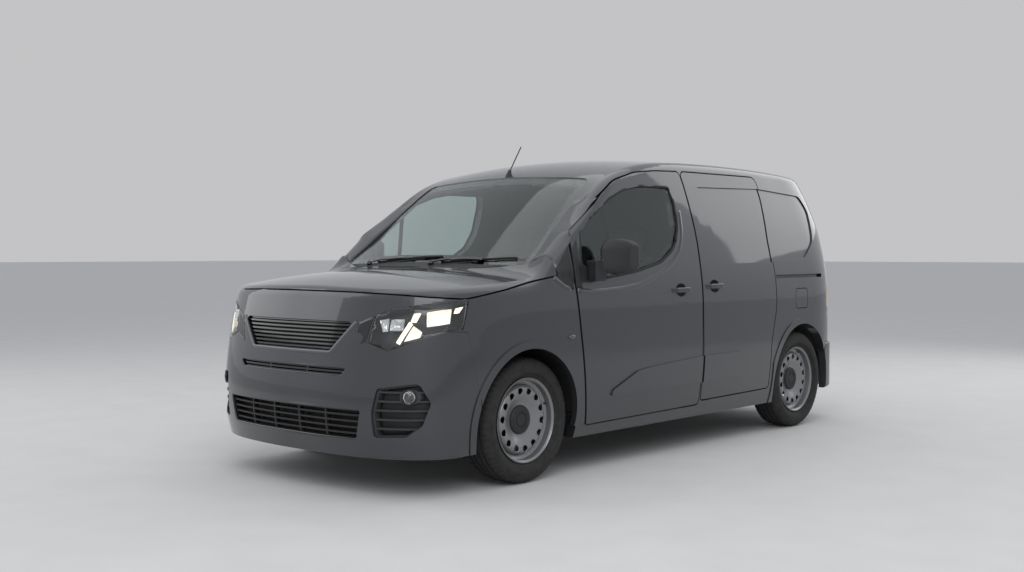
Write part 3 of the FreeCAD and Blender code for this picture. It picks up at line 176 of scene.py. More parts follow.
world.use_nodes = True
room = world.node_tree.nodes["Background"]
room.inputs["Color"].default_value = (0.72, 0.74, 0.77, 1)
room.inputs["Strength"].default_value = 0.78
backdrop = world.node_tree.nodes.new("ShaderNodeBackground")
backdrop.inputs["Color"].default_value = (0.55, 0.55, 0.56, 1)
seen = world.node_tree.nodes.new("ShaderNodeLightPath")
choice = world.node_tree.nodes.new("ShaderNodeMixShader")
world.node_tree.links.new(seen.outputs["Is Camera Ray"], choice.inputs["Fac"])
world.node_tree.links.new(room.outputs["Background"], choice.inputs[1])
world.node_tree.links.new(backdrop.outputs["Background"], choice.inputs[2])
world.node_tree.links.new(choice.outputs["Shader"], world.node_tree.nodes["World Output"].inputs["Surface"])
bpy.context.scene.world = world
camera = bpy.data.objects.new("camera", bpy.data.cameras.new("camera"))
camera.data.sensor_width = 36.0
camera.data.lens = 42.10
camera.location = (4.957945, -5.923195, 1.190544)
azimuth, elevation = math.radians(42.309), math.radians(1.571)
back = Vector((math.sin(azimuth) * math.cos(elevation), -math.cos(azimuth) * math.cos(elevation),
               math.sin(elevation)))
camera.rotation_mode = "QUATERNION"
camera.rotation_quaternion = (-back).to_track_quat("-Z", "Y")
camera.data.clip_end = 200
bpy.context.collection.objects.link(camera)
bpy.context.scene.camera = camera
bpy.context.scene.view_settings.view_transform = "Standard"

# Side trim: window rubber, quarter light bar, and the soft seals that close the shut lines of
# the side doors from behind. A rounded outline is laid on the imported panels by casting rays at
# them, so trim follows the same tumblehome and nose curve as the solids.
def rounded(corners, step=0.03):
    points = []
    count = len(corners)
    for i, (a, b, radius) in enumerate(corners):
        corner = Vector((a, b))
        before = Vector(corners[i - 1][:2]) - corner
        after = Vector(corners[(i + 1) % count][:2]) - corner
        half = before.angle(after) / 2
        reach = min(radius / math.tan(half), 0.48 * min(before.length, after.length))
        start, end = corner + before.normalized() * reach, corner + after.normalized() * reach
        for k in range(7):
            t = k / 6
            points.append(start * (1 - t) ** 2 + corner * 2 * t * (1 - t) + end * t * t)
        following = Vector(corners[(i + 1) % count][:2])
        gap = following - end
        runs = int(gap.length / step)
        for k in range(1, runs):
            points.append(end + gap * k / runs)
    kept = [points[0]]
    for point in points[1:]:
        if (point - kept[-1]).length > 0.004:
            kept.append(point)
    return kept


def skin_of(names):
    verts, faces = [], []
    for name in names:
        base = len(verts)
        verts += [v.co.copy() for v in nodes[name].data.vertices]
        faces += [[base + i for i in polygon.vertices] for polygon in nodes[name].data.polygons]
    return BVHTree.FromPolygons(verts, faces)


side_skin = skin_of(["body_side_left", "front_door_left", "sliding_door_left", "front_wing_left",
                     "front_bumper"])


def side_x(y, z):
    for nudge in (0.0, 0.012, -0.012, 0.03, -0.03):
        for lift in (0.0, 0.012, -0.012):
            hit = side_skin.ray_cast(Vector((1.6, y + nudge, z + lift)), Vector((-1, 0, 0)))[0]
            if hit and hit.x > 0.70:
                return hit.x
    return 0.9


def add_mesh(name, verts, faces, material, body, smooth=True):
    mesh = bpy.data.meshes.new(name)
    mesh.from_pydata([tuple(v) for v in verts], [], faces)
    mesh.update()
    work = bmesh.new()
    work.from_mesh(mesh)
    bmesh.ops.recalc_face_normals(work, faces=work.faces)
    work.to_mesh(mesh)
    work.free()
    for polygon in mesh.polygons:
        polygon.use_smooth = smooth
    mesh.materials.append(material)
    piece = bpy.data.objects.new(name, mesh)
    bpy.context.collection.objects.link(piece)
    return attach(piece, body)


def sweep(name, path, outward, section, material, body, closed=True, smooth=True):
    verts, faces = [], []
    count, width = len(path), len(section)
    for i, point in enumerate(path):
        ahead_point = path[(i + 1) % count] if closed or i < count - 1 else point
        back_point = path[i - 1] if closed or i else point
        along = (ahead_point - back_point).normalized()
        out = outward[i] if isinstance(outward, list) else outward
        out = (out - along * out.dot(along)).normalized()
        across = along.cross(out)
        verts += [point + across * u + out * v for u, v in section]
    for i in range(count if closed else count - 1):
        j = (i + 1) % count
        for k in range(width):
            m = (k + 1) % width
            faces.append((i * width + k, i * width + m, j * width + m, j * width + k))
    if not closed:
        faces.append(tuple(range(width)))
        faces.append(tuple(range((count - 1) * width, count * width))[::-1])
    return add_mesh(name, verts, faces, material, body, smooth)


def flip_side(points):
    return [Vector((-p.x, p.y, p.z)) for p in points]


window_line = rounded([
    (-0.905, 1.130, 0.025), (-0.884, 1.300, 0.045), (-0.760, 1.388, 0.2), (-0.565, 1.498, 0.2),
    (-0.400, 1.557, 0.2), (-0.240, 1.584, 0.2), (0.038, 1.586, 0.03), (0.064, 1.500, 0.12),
    (0.056, 1.340, 0.16), (-0.010, 1.222, 0.15), (-0.160, 1.138, 0.2), (-0.430, 1.084, 0.3),
                       (-0.740, 1.050, 0.2)])
front_door_line = rounded([
    (-0.859, 0.256, 0.02), (-0.905, 0.560, 0.6), (-0.938, 0.800, 0.9), (-0.972, 1.040, 0.5),
                           (-0.980, 1.240, 0.12),
    (-0.958, 1.316, 0.06), (-0.735, 1.456, 0.3), (-0.480, 1.608, 0.35), (-0.271, 1.663, 0.5),
                           (-0.060, 1.682, 0.5),
    (0.192, 1.690, 0.04), (0.204, 1.600, 0.5), (0.238, 1.240, 0.8), (0.240, 0.900, 0.9),
                           (0.232, 0.268, 0.025)], 0.05)
slide_door_line = rounded([
    (0.247, 0.290, 0.025), (0.247, 0.900, 0.9), (0.245, 1.240, 0.8), (0.211, 1.600, 0.5),
                           (0.199, 1.691, 0.04),
    (1.090, 1.696, 0.06), (1.116, 1.560, 0.3), (1.104, 1.290, 0.5), (1.130, 1.050, 0.4),
                           (1.132, 0.830, 0.3),
    (1.062, 0.600, 0.3), (1.060, 0.300, 0.025)], 0.05)
window_seal = [Vector((side_x(p.x, p.y) - 0.004, p.x, p.y)) for p in window_line]
below_screen = [p for p in front_door_line if not (p.x < -0.50 and p.y > 1.12)]
start = max(range(len(below_screen)), key=lambda i: (below_screen[i] - below_screen[i - 1]).length)
below_screen = below_screen[start:] + below_screen[:start]
front_seal = [Vector((side_x(p.x, p.y) - 0.030, p.x, p.y)) for p in below_screen]
slide_seal = [Vector((side_x(p.x, p.y) - 0.030, p.x, p.y)) for p in slide_door_line]
bead = [(-0.007, -0.006), (0.007, -0.006), (0.009, 0.000), (0.006, 0.005), (0.0, 0.0065), (-0.006, 0.005),
        (-0.009, 0.0)]
tube = [(0.0105 * math.cos(k * math.pi / 4), 0.0105 * math.sin(k * math.pi / 4)) for k in range(8)]
for side, sign in (("left", 1), ("right", -1)):
    out = Vector((sign, 0, 0))
    turn = (lambda path: path) if sign > 0 else flip_side
    sweep("window_rubber_" + side, turn(window_seal), out, bead, rubber, "cab_door_" + side)
    sweep("cab_door_seal_" + side, turn(front_seal), out, tube, rubber, "body", closed=False)
    sweep("slide_door_seal_" + side, turn(slide_seal), out, tube, rubber, "body")
    low, high = (-0.598, 1.069), (-0.640, 1.452)
    bar = [Vector((side_x(low[0], low[1] - 0.03) - 0.004, *low)),
           Vector((side_x(high[0], high[1] + 0.03) - 0.004, *high))]
    bar = [bar[0].lerp(bar[1], k / 8) for k in range(9)]
    sweep("quarter_light_bar_" + side, turn(bar), out,
          [(-0.013, -0.008), (0.013, -0.008), (0.013, 0.001), (0.009, 0.003), (-0.009, 0.003),
           (-0.013, 0.001)],
          rubber, "cab_door_" + side, closed=False)

# The pressed ledge under the side window, which rises behind it and runs on into the wing.
waist_line = [(-0.958, 0.985), (-0.840, 0.975), (-0.725, 0.977), (-0.560, 0.986), (-0.399, 1.006),
              (-0.290, 1.034), (-0.193, 1.068),
              (-0.100, 1.103), (-0.030, 1.142), (0.030, 1.190), (0.066, 1.245), (0.088, 1.310),
              (0.098, 1.390), (0.100, 1.470)]
wing_line = [(-1.150, 1.058), (-1.104, 1.032), (-1.060, 1.008), (-0.998, 0.990)]
for side, sign in (("left", 1), ("right", -1)):
    for name, line, body in (("door", waist_line, "cab_door_" + side), ("wing", wing_line, "body")):
        path = []
        for (y0, z0), (y1, z1) in zip(line, line[1:]):
            for k in range(4):
                y, z = y0 + (y1 - y0) * k / 4, z0 + (z1 - z0) * k / 4
                path.append(Vector((sign * side_x(y, z), y, z)))
        sweep("waist_ledge_%s_%s" % (name, side), path, Vector((sign, 0, 0)),
              [(0.016, -0.003), (0.011, 0.0006), (0.004, 0.0038), (-0.002, 0.0042), (-0.008, 0.0026),
               (-0.018, 0.0004), (-0.022, -0.003)],
              paint, body, closed=False)

# Screen pillars: a pressed strip from the roof rail down to the bonnet's corner, between the edge
# of the glass and the front door, and a black plate in the corner below it, ahead of the door.
pillar_skins = [skin_of([name]) for name in ("windscreen", "front_door_left", "body_side_left",
                                             "front_wing_left")]
screen_skin, door_skin, rail_skin, wing_skin = pillar_skins
plate_foot, plate_head = Vector((0.893, -1.117, 1.105)), Vector((0.874, -0.978, 1.250))
bonnet_rear = [(0.700, -1.180), (0.744, -1.154), (0.773, -1.138), (0.800, -1.122), (0.900, -1.122)]


def between(table, at):
    for (a, low), (b, high) in zip(table, table[1:]):
        if at <= b:
            break
    return low + (high - low) * (at - a) / (b - a)


def screen_edge(z):
    """The outer edge of the glass at one height."""
    for k in range(90):
        hit = screen_skin.ray_cast(Vector((0.765 - 0.0015 * k, -2, z)), Vector((0, 1, 0)))[0]
        if hit:
            return hit
    return Vector((0.733, -1.150, z))


def door_edge(z):
    """The front corner of the door at one height, or the plate's upper edge below the door's."""
    if z < plate_head.z:
        return plate_foot.lerp(plate_head, (z - plate_foot.z) / (plate_head.z - plate_foot.z))
    for x in (0.800, 0.820, 0.840, 0.780):
        front = door_skin.ray_cast(Vector((x, -2, z)), Vector((0, 1, 0)))[0]
        if front and front.y < -0.40:
            break
    outside = door_skin.ray_cast(Vector((1.6, front.y + 0.004, z)), Vector((-1, 0, 0)))[0]
    back = min(max((z - 1.41) / 0.06, 0), 1)
    return Vector((outside.x - 0.003 - 0.008 * back, front.y - 0.010 - 0.013 * back, z))


def pillar_row(z, wide):
    inner, outer = screen_edge(max(z, 1.135)), door_edge(z)
    crest = -1.119 + 1.29 * (z - 1.17) - 0.008 * math.exp(-((z - 1.30) / 0.05) ** 2)
    sharp = 3.5 + 3.5 * min(max((z - 1.13) / 0.2, 0), 1)
    row = [Vector((inner.x + 0.005, inner.y + 0.004, z))]
    for k in range(wide + 1):
        u = 1 - (1 - k / wide) ** 1.7
        x = inner.x + 0.009 + (outer.x - inner.x - 0.009) * u
        y = crest + (outer.y - crest) * u ** sharp
        if z < 1.175:
            y = max(y, between(bonnet_rear, x) + 0.006)
        hit = rail_skin.ray_cast(Vector((x, -2, z)), Vector((0, 1, 0)))[0]
        if z > 1.47 and hit and abs(hit.y - y) < 0.02:
            y = hit.y + (0.0012 if z > 1.495 else -0.0006)
        row.append(Vector((x, y, z)))
    return row


def slab(name, rows, back, material, body):
    """A grid of points made solid by a second layer set back from it."""
    tall, wide = len(rows), len(rows[0])
    front = [p for row in rows for p in row]
    verts = front + [p + back for p in front]
    faces, far = [], len(front)
    for j in range(tall - 1):
        for i in range(wide - 1):
            k = j * wide + i
            quad = (k, k + 1, k + wide + 1, k + wide)
            faces += [quad, tuple(far + q for q in quad[::-1])]
    rim = [i for i in range(wide)] + [j * wide + wide - 1 for j in range(1, tall)]
    rim += [(tall - 1) * wide + i for i in range(wide - 2, -1, -1)] + [j * wide for j in range(tall - 2, 0, -1)]
    for a, b in zip(rim, rim[1:] + rim[:1]):
        faces.append((b, a, far + a, far + b))
    return add_mesh(name, verts, faces, material, body)


def wing_x(y, z):
    hit = wing_skin.ray_cast(Vector((1.6, y, z)), Vector((-1, 0, 0)))[0]
    return hit.x if hit and hit.x > 0.85 else None


pillar_rows = [pillar_row(1.105 + 0.0165 * j, 16) for j in range(25)]
plate_rows = [[] for j in range(9)]
for i in range(13):
    y = -1.112 + (-0.990 + 1.112) * i / 12
    foot = between(wing_line, y) + 0.006
    head = plate_foot.z + (y - plate_foot.y) / (plate_head.y - plate_foot.y) * (plate_head.z - plate_foot.z)
    low_x = wing_x(y, foot) or 0.908
    for j in range(9):
        z = foot + (head - foot) * j / 8
        on_wing = wing_x(y, z)
        lean = max(z - 1.082, 0) / (head - 1.082)
        x = low_x + (door_edge(head).x - 0.003 - low_x) * lean
        plate_rows[j].append(Vector(((on_wing if on_wing else x) + 0.0012, y, z)))
door_rows = []
for j in range(9):
    door_rows.append([])
    for i in range(5):
        y = -0.968 + 0.053 * i / 4
        z = 1.004 + (0.216 + 0.056 * i / 4) * j / 8
        door_rows[-1].append(Vector((side_x(y, z) + 0.0012, y, z)))
for side, sign in (("left", 1), ("right", -1)):
    turn = (lambda path: path) if sign > 0 else flip_side
    slab("screen_pillar_" + side, [turn(row) for row in pillar_rows], Vector((0, 0.003, 0)), paint, "body")
    slab("corner_plate_" + side, [turn(row) for row in plate_rows], Vector((-0.0025 * sign, 0, 0)), black_grain,
         "body")
    slab("door_corner_" + side, [turn(row) for row in door_rows], Vector((-0.0020 * sign, 0, 0)), black_grain,
         "cab_door_" + side)

# Headlamps: clear outer lens from the lamp's own front skin, dark bowl from its walls, faceted reflectors, some
# of them glowing, and the light strip that runs down to the inner tip.
clear_lens = bpy.data.materials.new("clear_lens")
clear_lens.use_nodes = True
lens_shader = clear_lens.node_tree.nodes["Principled BSDF"]
lens_shader.inputs["Base Color"].default_value = (0.96, 0.98, 1.0, 1)
lens_shader.inputs["Transmission Weight"].default_value = 1.0
lens_shader.inputs["Roughness"].default_value = 0.0
lens_shader.inputs["IOR"].default_value = 1.02
lens_shader.inputs["Coat Weight"].default_value = 1.0
lens_shader.inputs["Coat Roughness"].default_value = 0.01
glow = bpy.data.materials.new("lamp_glow")
glow.use_nodes = True
glow_shader = glow.node_tree.nodes["Principled BSDF"]
glow_shader.inputs["Base Color"].default_value = (1.0, 0.93, 0.80, 1)
glow_shader.inputs["Emission Color"].default_value = (1.0, 0.86, 0.64, 1)
glow_shader.inputs["Emission Strength"].default_value = 1.1
lamp_work = bmesh.new()
lamp_work.from_mesh(nodes["headlamps"].data)
bmesh.ops.remove_doubles(lamp_work, verts=lamp_work.verts, dist=0.00005)
lens_faces = []
for face in lamp_work.faces:
    centre = face.calc_center_median()
    out = Vector((centre.x, centre.y + 1.2, 0)).normalized()
    if face.normal.dot(out) > 0.45:
        lens_faces.append(face.index)
lamp_work.free()
for side, sign in (("left", 1), ("right", -1)):
    for part, material in (("lens", clear_lens), ("bowl", black_gloss)):
        work = bmesh.new()
        work.from_mesh(nodes["headlamps"].data)
        bmesh.ops.remove_doubles(work, verts=work.verts, dist=0.00005)
        work.faces.ensure_lookup_table()
        front = set(lens_faces)
        doomed = [f for f in work.faces
                  if (f.index in front) != (part == "lens") or f.calc_center_median().x * sign < 0]
        bmesh.ops.delete(work, geom=doomed, context="FACES")
        mesh = bpy.data.meshes.new("headlamp_%s_%s" % (part, side))
        work.to_mesh(mesh)
        work.free()
        mesh.materials.clear()
        mesh.materials.append(material)
        for polygon in mesh.polygons:
            polygon.use_smooth = part == "lens"
        piece = bpy.data.objects.new(mesh.name, mesh)
        bpy.context.collection.objects.link(piece)
        shell = piece.modifiers.new("wall", "SOLIDIFY")
        shell.thickness = 0.003
        shell.offset = -1.0
        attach(piece, "body")
        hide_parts("headlamps")

# Reflector bowls and the lamp strip follow the lens from inside.
lamp_skin = skin_of(["headlamps"])


def behind_lens(x, z, depth):
    hit, normal, index, distance = lamp_skin.ray_cast(Vector((x, -2.6, z)), Vector((0, 1, 0)))
    if hit is None or hit.y > -1.74:
        return None
    return hit - normal * depth


def lens_point(x, z, depth):
    for pull in range(12):
        place = behind_lens(x + (0.72 - x) * pull * 0.03, z + (0.85 - z) * pull * 0.03, depth)
        if place:
            return place
    return Vector((x, -1.95, z))


reflector = finish("reflector", (0.70, 0.70, 0.68), (0.86, 0.86, 0.84), 40, 0.16, 0.95, 0.05)
lit_reflector = finish("lit_reflector", (0.86, 0.82, 0.72), (0.98, 0.95, 0.86), 30, 0.3, 0.2, 0.05)
lit_shader = lit_reflector.node_tree.nodes["Principled BSDF"]
lit_shader.inputs["Emission Color"].default_value = (1.0, 0.84, 0.62, 1)
lit_shader.inputs["Emission Strength"].default_value = 0.55
amber = finish("amber", (0.75, 0.30, 0.04), (0.90, 0.42, 0.08), 40, 0.2, 0.0, 0.02, 0.5)


def lamp_facet(name, corners, sign, front, deep, material, rows=10, waves=5):
    """A four-cornered reflector that dishes back from its rim in vertical flutes."""
    verts, faces = [], []
    for j in range(rows + 1):
        v = j / rows
        for i in range(4 * waves + 1):
            u = i / (4 * waves)
            low = Vector(corners[0]).lerp(Vector(corners[1]), u)
            high = Vector(corners[3]).lerp(Vector(corners[2]), u)
            at = low.lerp(high, v)
            dish_depth = deep * (1 - (2 * u - 1) ** 2) * (1 - (2 * v - 1) ** 2)
            flute = 0.0020 * math.sin(math.pi * 2 * waves * u) ** 2
            spot = lens_point(at.x, at.y, front + dish_depth + flute)
            verts.append(Vector((spot.x * sign, spot.y, spot.z)))
    wide = 4 * waves + 1
    for j in range(rows):
        for i in range(wide - 1):
            k = j * wide + i
            faces.append((k, k + 1, k + wide + 1, k + wide))
    piece = add_mesh(name, verts, faces, material, "body", smooth=False)
    shell = piece.modifiers.new("wall", "SOLIDIFY")
    shell.thickness = 0.0015
    return piece


lamp_facets = [
    ("main", [(0.790, 0.836), (0.852, 0.850), (0.850, 0.920), (0.782, 0.906)], 0.014, 0.030, lit_reflector,
     5),
    ("arrow", [(0.856, 0.898), (0.866, 0.900), (0.872, 0.930), (0.858, 0.922)], 0.010, 0.004, glow, 1),
    ("small", [(0.727, 0.860), (0.750, 0.858), (0.762, 0.904), (0.736, 0.902)], 0.014, 0.012, lit_reflector,
     2),
    ("foot", [(0.712, 0.766), (0.772, 0.786), (0.776, 0.812), (0.742, 0.842)], 0.014, 0.018, lit_reflector,
     3),
    ("inner", [(0.640, 0.818), (0.700, 0.820), (0.700, 0.874), (0.640, 0.872)], 0.014, 0.030, reflector, 4),
    ("wing", [(0.606, 0.812), (0.630, 0.816), (0.628, 0.876), (0.580, 0.868)], 0.014, 0.010, reflector, 2),
]
for side, sign in (("left", 1), ("right", -1)):
    for name, corners, front, deep, material, waves in lamp_facets:
        lamp_facet("lamp_%s_%s" % (name, side), corners, sign, front, deep, material, waves=waves)
    strip = []
    for k in range(13):
        place = lens_point(0.688 + 0.043 * k / 12, 0.756 + 0.100 * k / 12, 0.010)
        strip.append(Vector((place.x * sign, place.y, place.z)))
    sweep("lamp_strip_" + side, strip, Vector((0.35 * sign, -0.9, 0)),
          [(-0.011, -0.002), (0.011, -0.002), (0.011, 0.001), (0.0, 0.0035), (-0.011, 0.001)], glow, "body",
          closed=False)

# Nose: the bright edge of the grille, the dark shrouds behind every opening, gloss black fillers beside the
# grille and rims round the slot and the intake.
def smooth_value(table, at):
    at = min(max(at, table[0][0]), table[-1][0])
    for i in range(len(table) - 1):
        if at <= table[i + 1][0]:
            break
    (a0, v0), (a1, v1) = table[i], table[i + 1]
    slope0 = (v1 - table[i - 1][1]) / (a1 - table[i - 1][0]) if i else (v1 - v0) / (a1 - a0)
    slope1 = (table[i + 2][1] - v0) / (table[i + 2][0] - a0) if i + 2 < len(table) else (v1 - v0) / (a1 - a0)
    t, span = (at - a0) / (a1 - a0), a1 - a0
    return (v0 * (1 + 2 * t) * (1 - t) ** 2 + slope0 * span * t * (1 - t) ** 2
            + v1 * t * t * (3 - 2 * t) + slope1 * span * t * t * (t - 1))


def nose_y(x, z):
    front = smooth_value([(0.15, 0.0515), (0.30, 0.0115), (0.45, 0.0), (0.60, 0.0135), (0.85, 0.0565),
                          (1.0, 0.0965)], z)
    back = smooth_value([(-0.30, 0.012), (0.0, 0.0), (0.30, 0.012), (0.56, 0.060), (0.74, 0.150),
                         (0.85, 0.290)], abs(x))
    return -2.2015 + front + back


def shroud(name, corners, depth, material, wide=24, tall=8):
    xs, zs = [c[0] for c in corners], [c[1] for c in corners]
    left, right, foot, head = min(xs), max(xs), min(zs), max(zs)
    verts, faces = [], []
    for j in range(tall + 1):
        z = foot + (head - foot) * j / tall
        spans = []
        for (x0, z0, r0), (x1, z1, r1) in zip(corners, corners[1:] + corners[:1]):
            if min(z0, z1) - 1e-6 <= z <= max(z0, z1) + 1e-6 and abs(z1 - z0) > 1e-6:
                spans.append(x0 + (x1 - x0) * (z - z0) / (z1 - z0))
        a, b = min(spans), max(spans)
        for i in range(wide + 1):
            x = a + (b - a) * i / wide
            verts.append(Vector((x, nose_y(x, z) + depth, z)))
    for j in range(tall):
        for i in range(wide):
            k = j * (wide + 1) + i
            faces.append((k, k + 1, k + wide + 2, k + wide + 1))
    piece = add_mesh(name, verts, faces, material, "body")
    shell = piece.modifiers.new("wall", "SOLIDIFY")
    shell.thickness = 0.002
    shell.offset = 1.0
    return piece


upper_opening = [(-0.456, 0.852, 0), (-0.312, 0.704, 0), (0.312, 0.704, 0), (0.456, 0.852, 0)]
slot_opening = [(-0.438, 0.628, 0), (-0.398, 0.592, 0), (0.398, 0.592, 0), (0.438, 0.628, 0)]
intake_opening = [(-0.530, 0.430, 0), (-0.494, 0.287, 0), (0.494, 0.287, 0), (0.530, 0.430, 0)]
pod_opening = [(0.597, 0.304, 0), (0.592, 0.421, 0), (0.616, 0.535, 0), (0.783, 0.562, 0),
               (0.820, 0.470, 0), (0.797, 0.362, 0), (0.740, 0.311, 0)]
shroud("grille_shroud", upper_opening, 0.052, black_grain)
shroud("slot_shroud", slot_opening, 0.052, black_grain)
shroud("intake_shroud", intake_opening, 0.060, black_grain)
shroud("fog_shroud_left", pod_opening, 0.050, black_grain, 14, 12)
shroud("fog_shroud_right", [(-x, z, r) for x, z, r in pod_opening], 0.050, black_grain, 14, 12)
edge = rounded([(-0.462, 0.858, 0.004), (-0.314, 0.700, 0.03), (0.314, 0.700, 0.03), (0.462, 0.858, 0.004)])
first = min(range(len(edge)), key=lambda i: (edge[i] - Vector((-0.462, 0.858))).length)
edge = edge[first:] + edge[:first]
cut = min(range(len(edge)), key=lambda i: (edge[i] - Vector((0.462, 0.858))).length)
edge = edge[:cut + 1]
trim_edge = [(-0.008, -0.010), (0.008, -0.010), (0.009, 0.0), (0.006, 0.004), (-0.006, 0.004),
             (-0.009, 0.0)]
satin_trim = finish("satin_trim", (0.10, 0.102, 0.108), (0.15, 0.153, 0.16), 300, 0.30, 0.7, 0.03, 0.4)
sweep("grille_surround", [Vector((p.x, nose_y(p.x, p.y) - 0.001, p.y)) for p in edge], Vector((0, -1, 0)),
      trim_edge, satin_trim, "body", closed=False)
for side, sign in (("left", 1), ("right", -1)):
    corners = [(0.478, 0.853), (0.552, 0.884), (0.536, 0.760), (0.420, 0.722)]
    verts, faces = [], []
    for j in range(9):
        for i in range(9):
            foot = Vector(corners[3]).lerp(Vector(corners[2]), i / 8)
            p = foot.lerp(Vector(corners[0]).lerp(Vector(corners[1]), i / 8), j / 8)
            verts.append(Vector((sign * p.x, nose_y(p.x, p.y) - 0.0015, p.y)))
    for j in range(8):
        for i in range(8):
            faces.append((j * 9 + i, j * 9 + i + 1, j * 9 + i + 10, j * 9 + i + 9))
    filler = add_mesh("grille_filler_" + side, verts, faces, black_gloss, "body")
    filler_wall = filler.modifiers.new("wall", "SOLIDIFY")
    filler_wall.thickness = 0.004
for name, opening, size in (("slot_surround", slot_opening, 0.6), ("intake_surround", intake_opening, 0.8)):
    ring = rounded([(x * 1.006, z + (0.003 if z > sum(c[1] for c in opening) / 4 else -0.003), 0.014) for x,
                    z, r in opening])
    sweep(name, [Vector((p.x, nose_y(p.x, p.y) + 0.004, p.y)) for p in ring], Vector((0, -1, 0)),
          [(u * size, v * size) for u, v in trim_edge], black_gloss, "body")


# One Geometry Nodes group repeats a piece: count, step along and turn about its own origin are
# named inputs, and the copies are realized before the mesh is kept.
repeat_tree = bpy.data.node_groups.new("repeat_piece", "GeometryNodeTree")
repeat_tree.interface.new_socket(name="Piece", in_out="INPUT", socket_type="NodeSocketGeometry")
repeat_tree.interface.new_socket(name="Count", in_out="INPUT", socket_type="NodeSocketInt")
repeat_tree.interface.new_socket(name="Step", in_out="INPUT", socket_type="NodeSocketVector")
repeat_tree.interface.new_socket(name="Turn", in_out="INPUT", socket_type="NodeSocketVector")
repeat_tree.interface.new_socket(name="Finish", in_out="INPUT", socket_type="NodeSocketMaterial")
repeat_tree.interface.new_socket(name="Copies", in_out="OUTPUT", socket_type="NodeSocketGeometry")
given = repeat_tree.nodes.new("NodeGroupInput")
result = repeat_tree.nodes.new("NodeGroupOutput")
spots = repeat_tree.nodes.new("GeometryNodeMeshLine")
placed = repeat_tree.nodes.new("GeometryNodeInstanceOnPoints")
order = repeat_tree.nodes.new("GeometryNodeInputIndex")
turned_by = repeat_tree.nodes.new("ShaderNodeVectorMath")
turned_by.operation = "SCALE"
realized = repeat_tree.nodes.new("GeometryNodeRealizeInstances")
coated = repeat_tree.nodes.new("GeometryNodeSetMaterial")
repeat_tree.links.new(given.outputs["Count"], spots.inputs["Count"])
repeat_tree.links.new(given.outputs["Step"], spots.inputs["Offset"])
repeat_tree.links.new(spots.outputs["Mesh"], placed.inputs["Points"])
repeat_tree.links.new(given.outputs["Piece"], placed.inputs["Instance"])
repeat_tree.links.new(given.outputs["Turn"], turned_by.inputs[0])
repeat_tree.links.new(order.outputs["Index"], turned_by.inputs["Scale"])
repeat_tree.links.new(turned_by.outputs["Vector"], placed.inputs["Rotation"])
repeat_tree.links.new(placed.outputs["Instances"], realized.inputs["Geometry"])
repeat_tree.links.new(realized.outputs["Geometry"], coated.inputs["Geometry"])
repeat_tree.links.new(given.outputs["Finish"], coated.inputs["Material"])
repeat_tree.links.new(coated.outputs["Geometry"], result.inputs["Copies"])


def repeated(piece, count, material, step=(0, 0, 0), turn=(0, 0, 0)):
    array = piece.modifiers.new("repeat", "NODES")
    array.node_group = repeat_tree
    values = {"Count": count, "Step": step, "Turn": turn, "Finish": material}
    for socket in repeat_tree.interface.items_tree:
        if socket.in_out == "INPUT" and socket.name in values:
            array[socket.identifier] = values[socket.name]
    bpy.context.view_layer.update()
    whole = bpy.data.meshes.new_from_object(piece.evaluated_get(bpy.context.evaluated_depsgraph_get()))
    piece.modifiers.remove(array)
    piece.data = whole
    return piece


# Wheels. The tyre is a grid round its tread profile with grooves and block cuts pressed in; the
# wheel is a barrel, a dished disc with a ring of vents, a ribbed black cap and a valve.
tyre_rubber = finish("tyre_rubber", (0.012, 0.012, 0.012), (0.026, 0.025, 0.024), 30, 0.82, 0.0, 0.5, 0.0,
                     700)
wheel_silver = finish("wheel_silver", (0.20, 0.203, 0.21), (0.27, 0.273, 0.28), 500, 0.36, 0.6, 0.05, 0.3)
dress(both("tyre_front", "tyre_rear"), tyre_rubber)
dress(both("rim_front", "rim_rear"), wheel_silver)


def revolved(rows, steps, ring_closed=True):
    verts, faces = [], []
    width = len(rows)
    for i in range(steps):
        turn = 2 * math.pi * i / steps
        verts += [Vector((a, r * math.cos(turn), r * math.sin(turn))) for a, r in rows]
    for i in range(steps):
        j = (i + 1) % steps
        for k in range(width if ring_closed else width - 1):
            m = (k + 1) % width
            faces.append((i * width + k, i * width + m, j * width + m, j * width + k))
    return verts, faces


def plain_mesh(name, verts, faces, material, sharp=35):
    mesh = bpy.data.meshes.new(name)
    mesh.from_pydata([tuple(v) for v in verts], [], faces)
    work = bmesh.new()
    work.from_mesh(mesh)
    bmesh.ops.remove_doubles(work, verts=work.verts, dist=0.00005)
    bmesh.ops.recalc_face_normals(work, faces=work.faces)
    work.to_mesh(mesh)
    work.free()
    for polygon in mesh.polygons:
        polygon.use_smooth = True
    mesh.set_sharp_from_angle(angle=math.radians(sharp))
    mesh.materials.append(material)
    return mesh


outer_rows = [(-0.064, 0.2135), (-0.070, 0.2145), (-0.0765, 0.226), (-0.0800, 0.2330), (-0.0880, 0.2395),
              (-0.0885, 0.2410),
              (-0.0960, 0.2470), (-0.0972, 0.2475), (-0.1000, 0.2560), (-0.1018, 0.2640), (-0.1024, 0.2700),
              (-0.1010, 0.2790),
              (-0.0998, 0.2800), (-0.0985, 0.2850), (-0.0975, 0.2900), (-0.0950, 0.2965), (-0.0915, 0.3040),
              (-0.0865, 0.3120),
              (-0.0800, 0.3180)]
tread = []
for a in (-0.052, -0.019, 0.019, 0.052):
    tread += [(a - 0.0050, 0), (a - 0.0038, -0.007), (a + 0.0038, -0.007), (a + 0.0050, 0)]
tread += [(a, 0) for a in (-0.071, -0.0635, -0.040, -0.031, -0.009, 0.0, 0.009, 0.031, 0.040, 0.0635,
                           0.071)]
tread_rows = [(a, 0.3258 - 0.0030 * (a / 0.0685) ** 2 + drop) for a, drop in sorted(tread)]
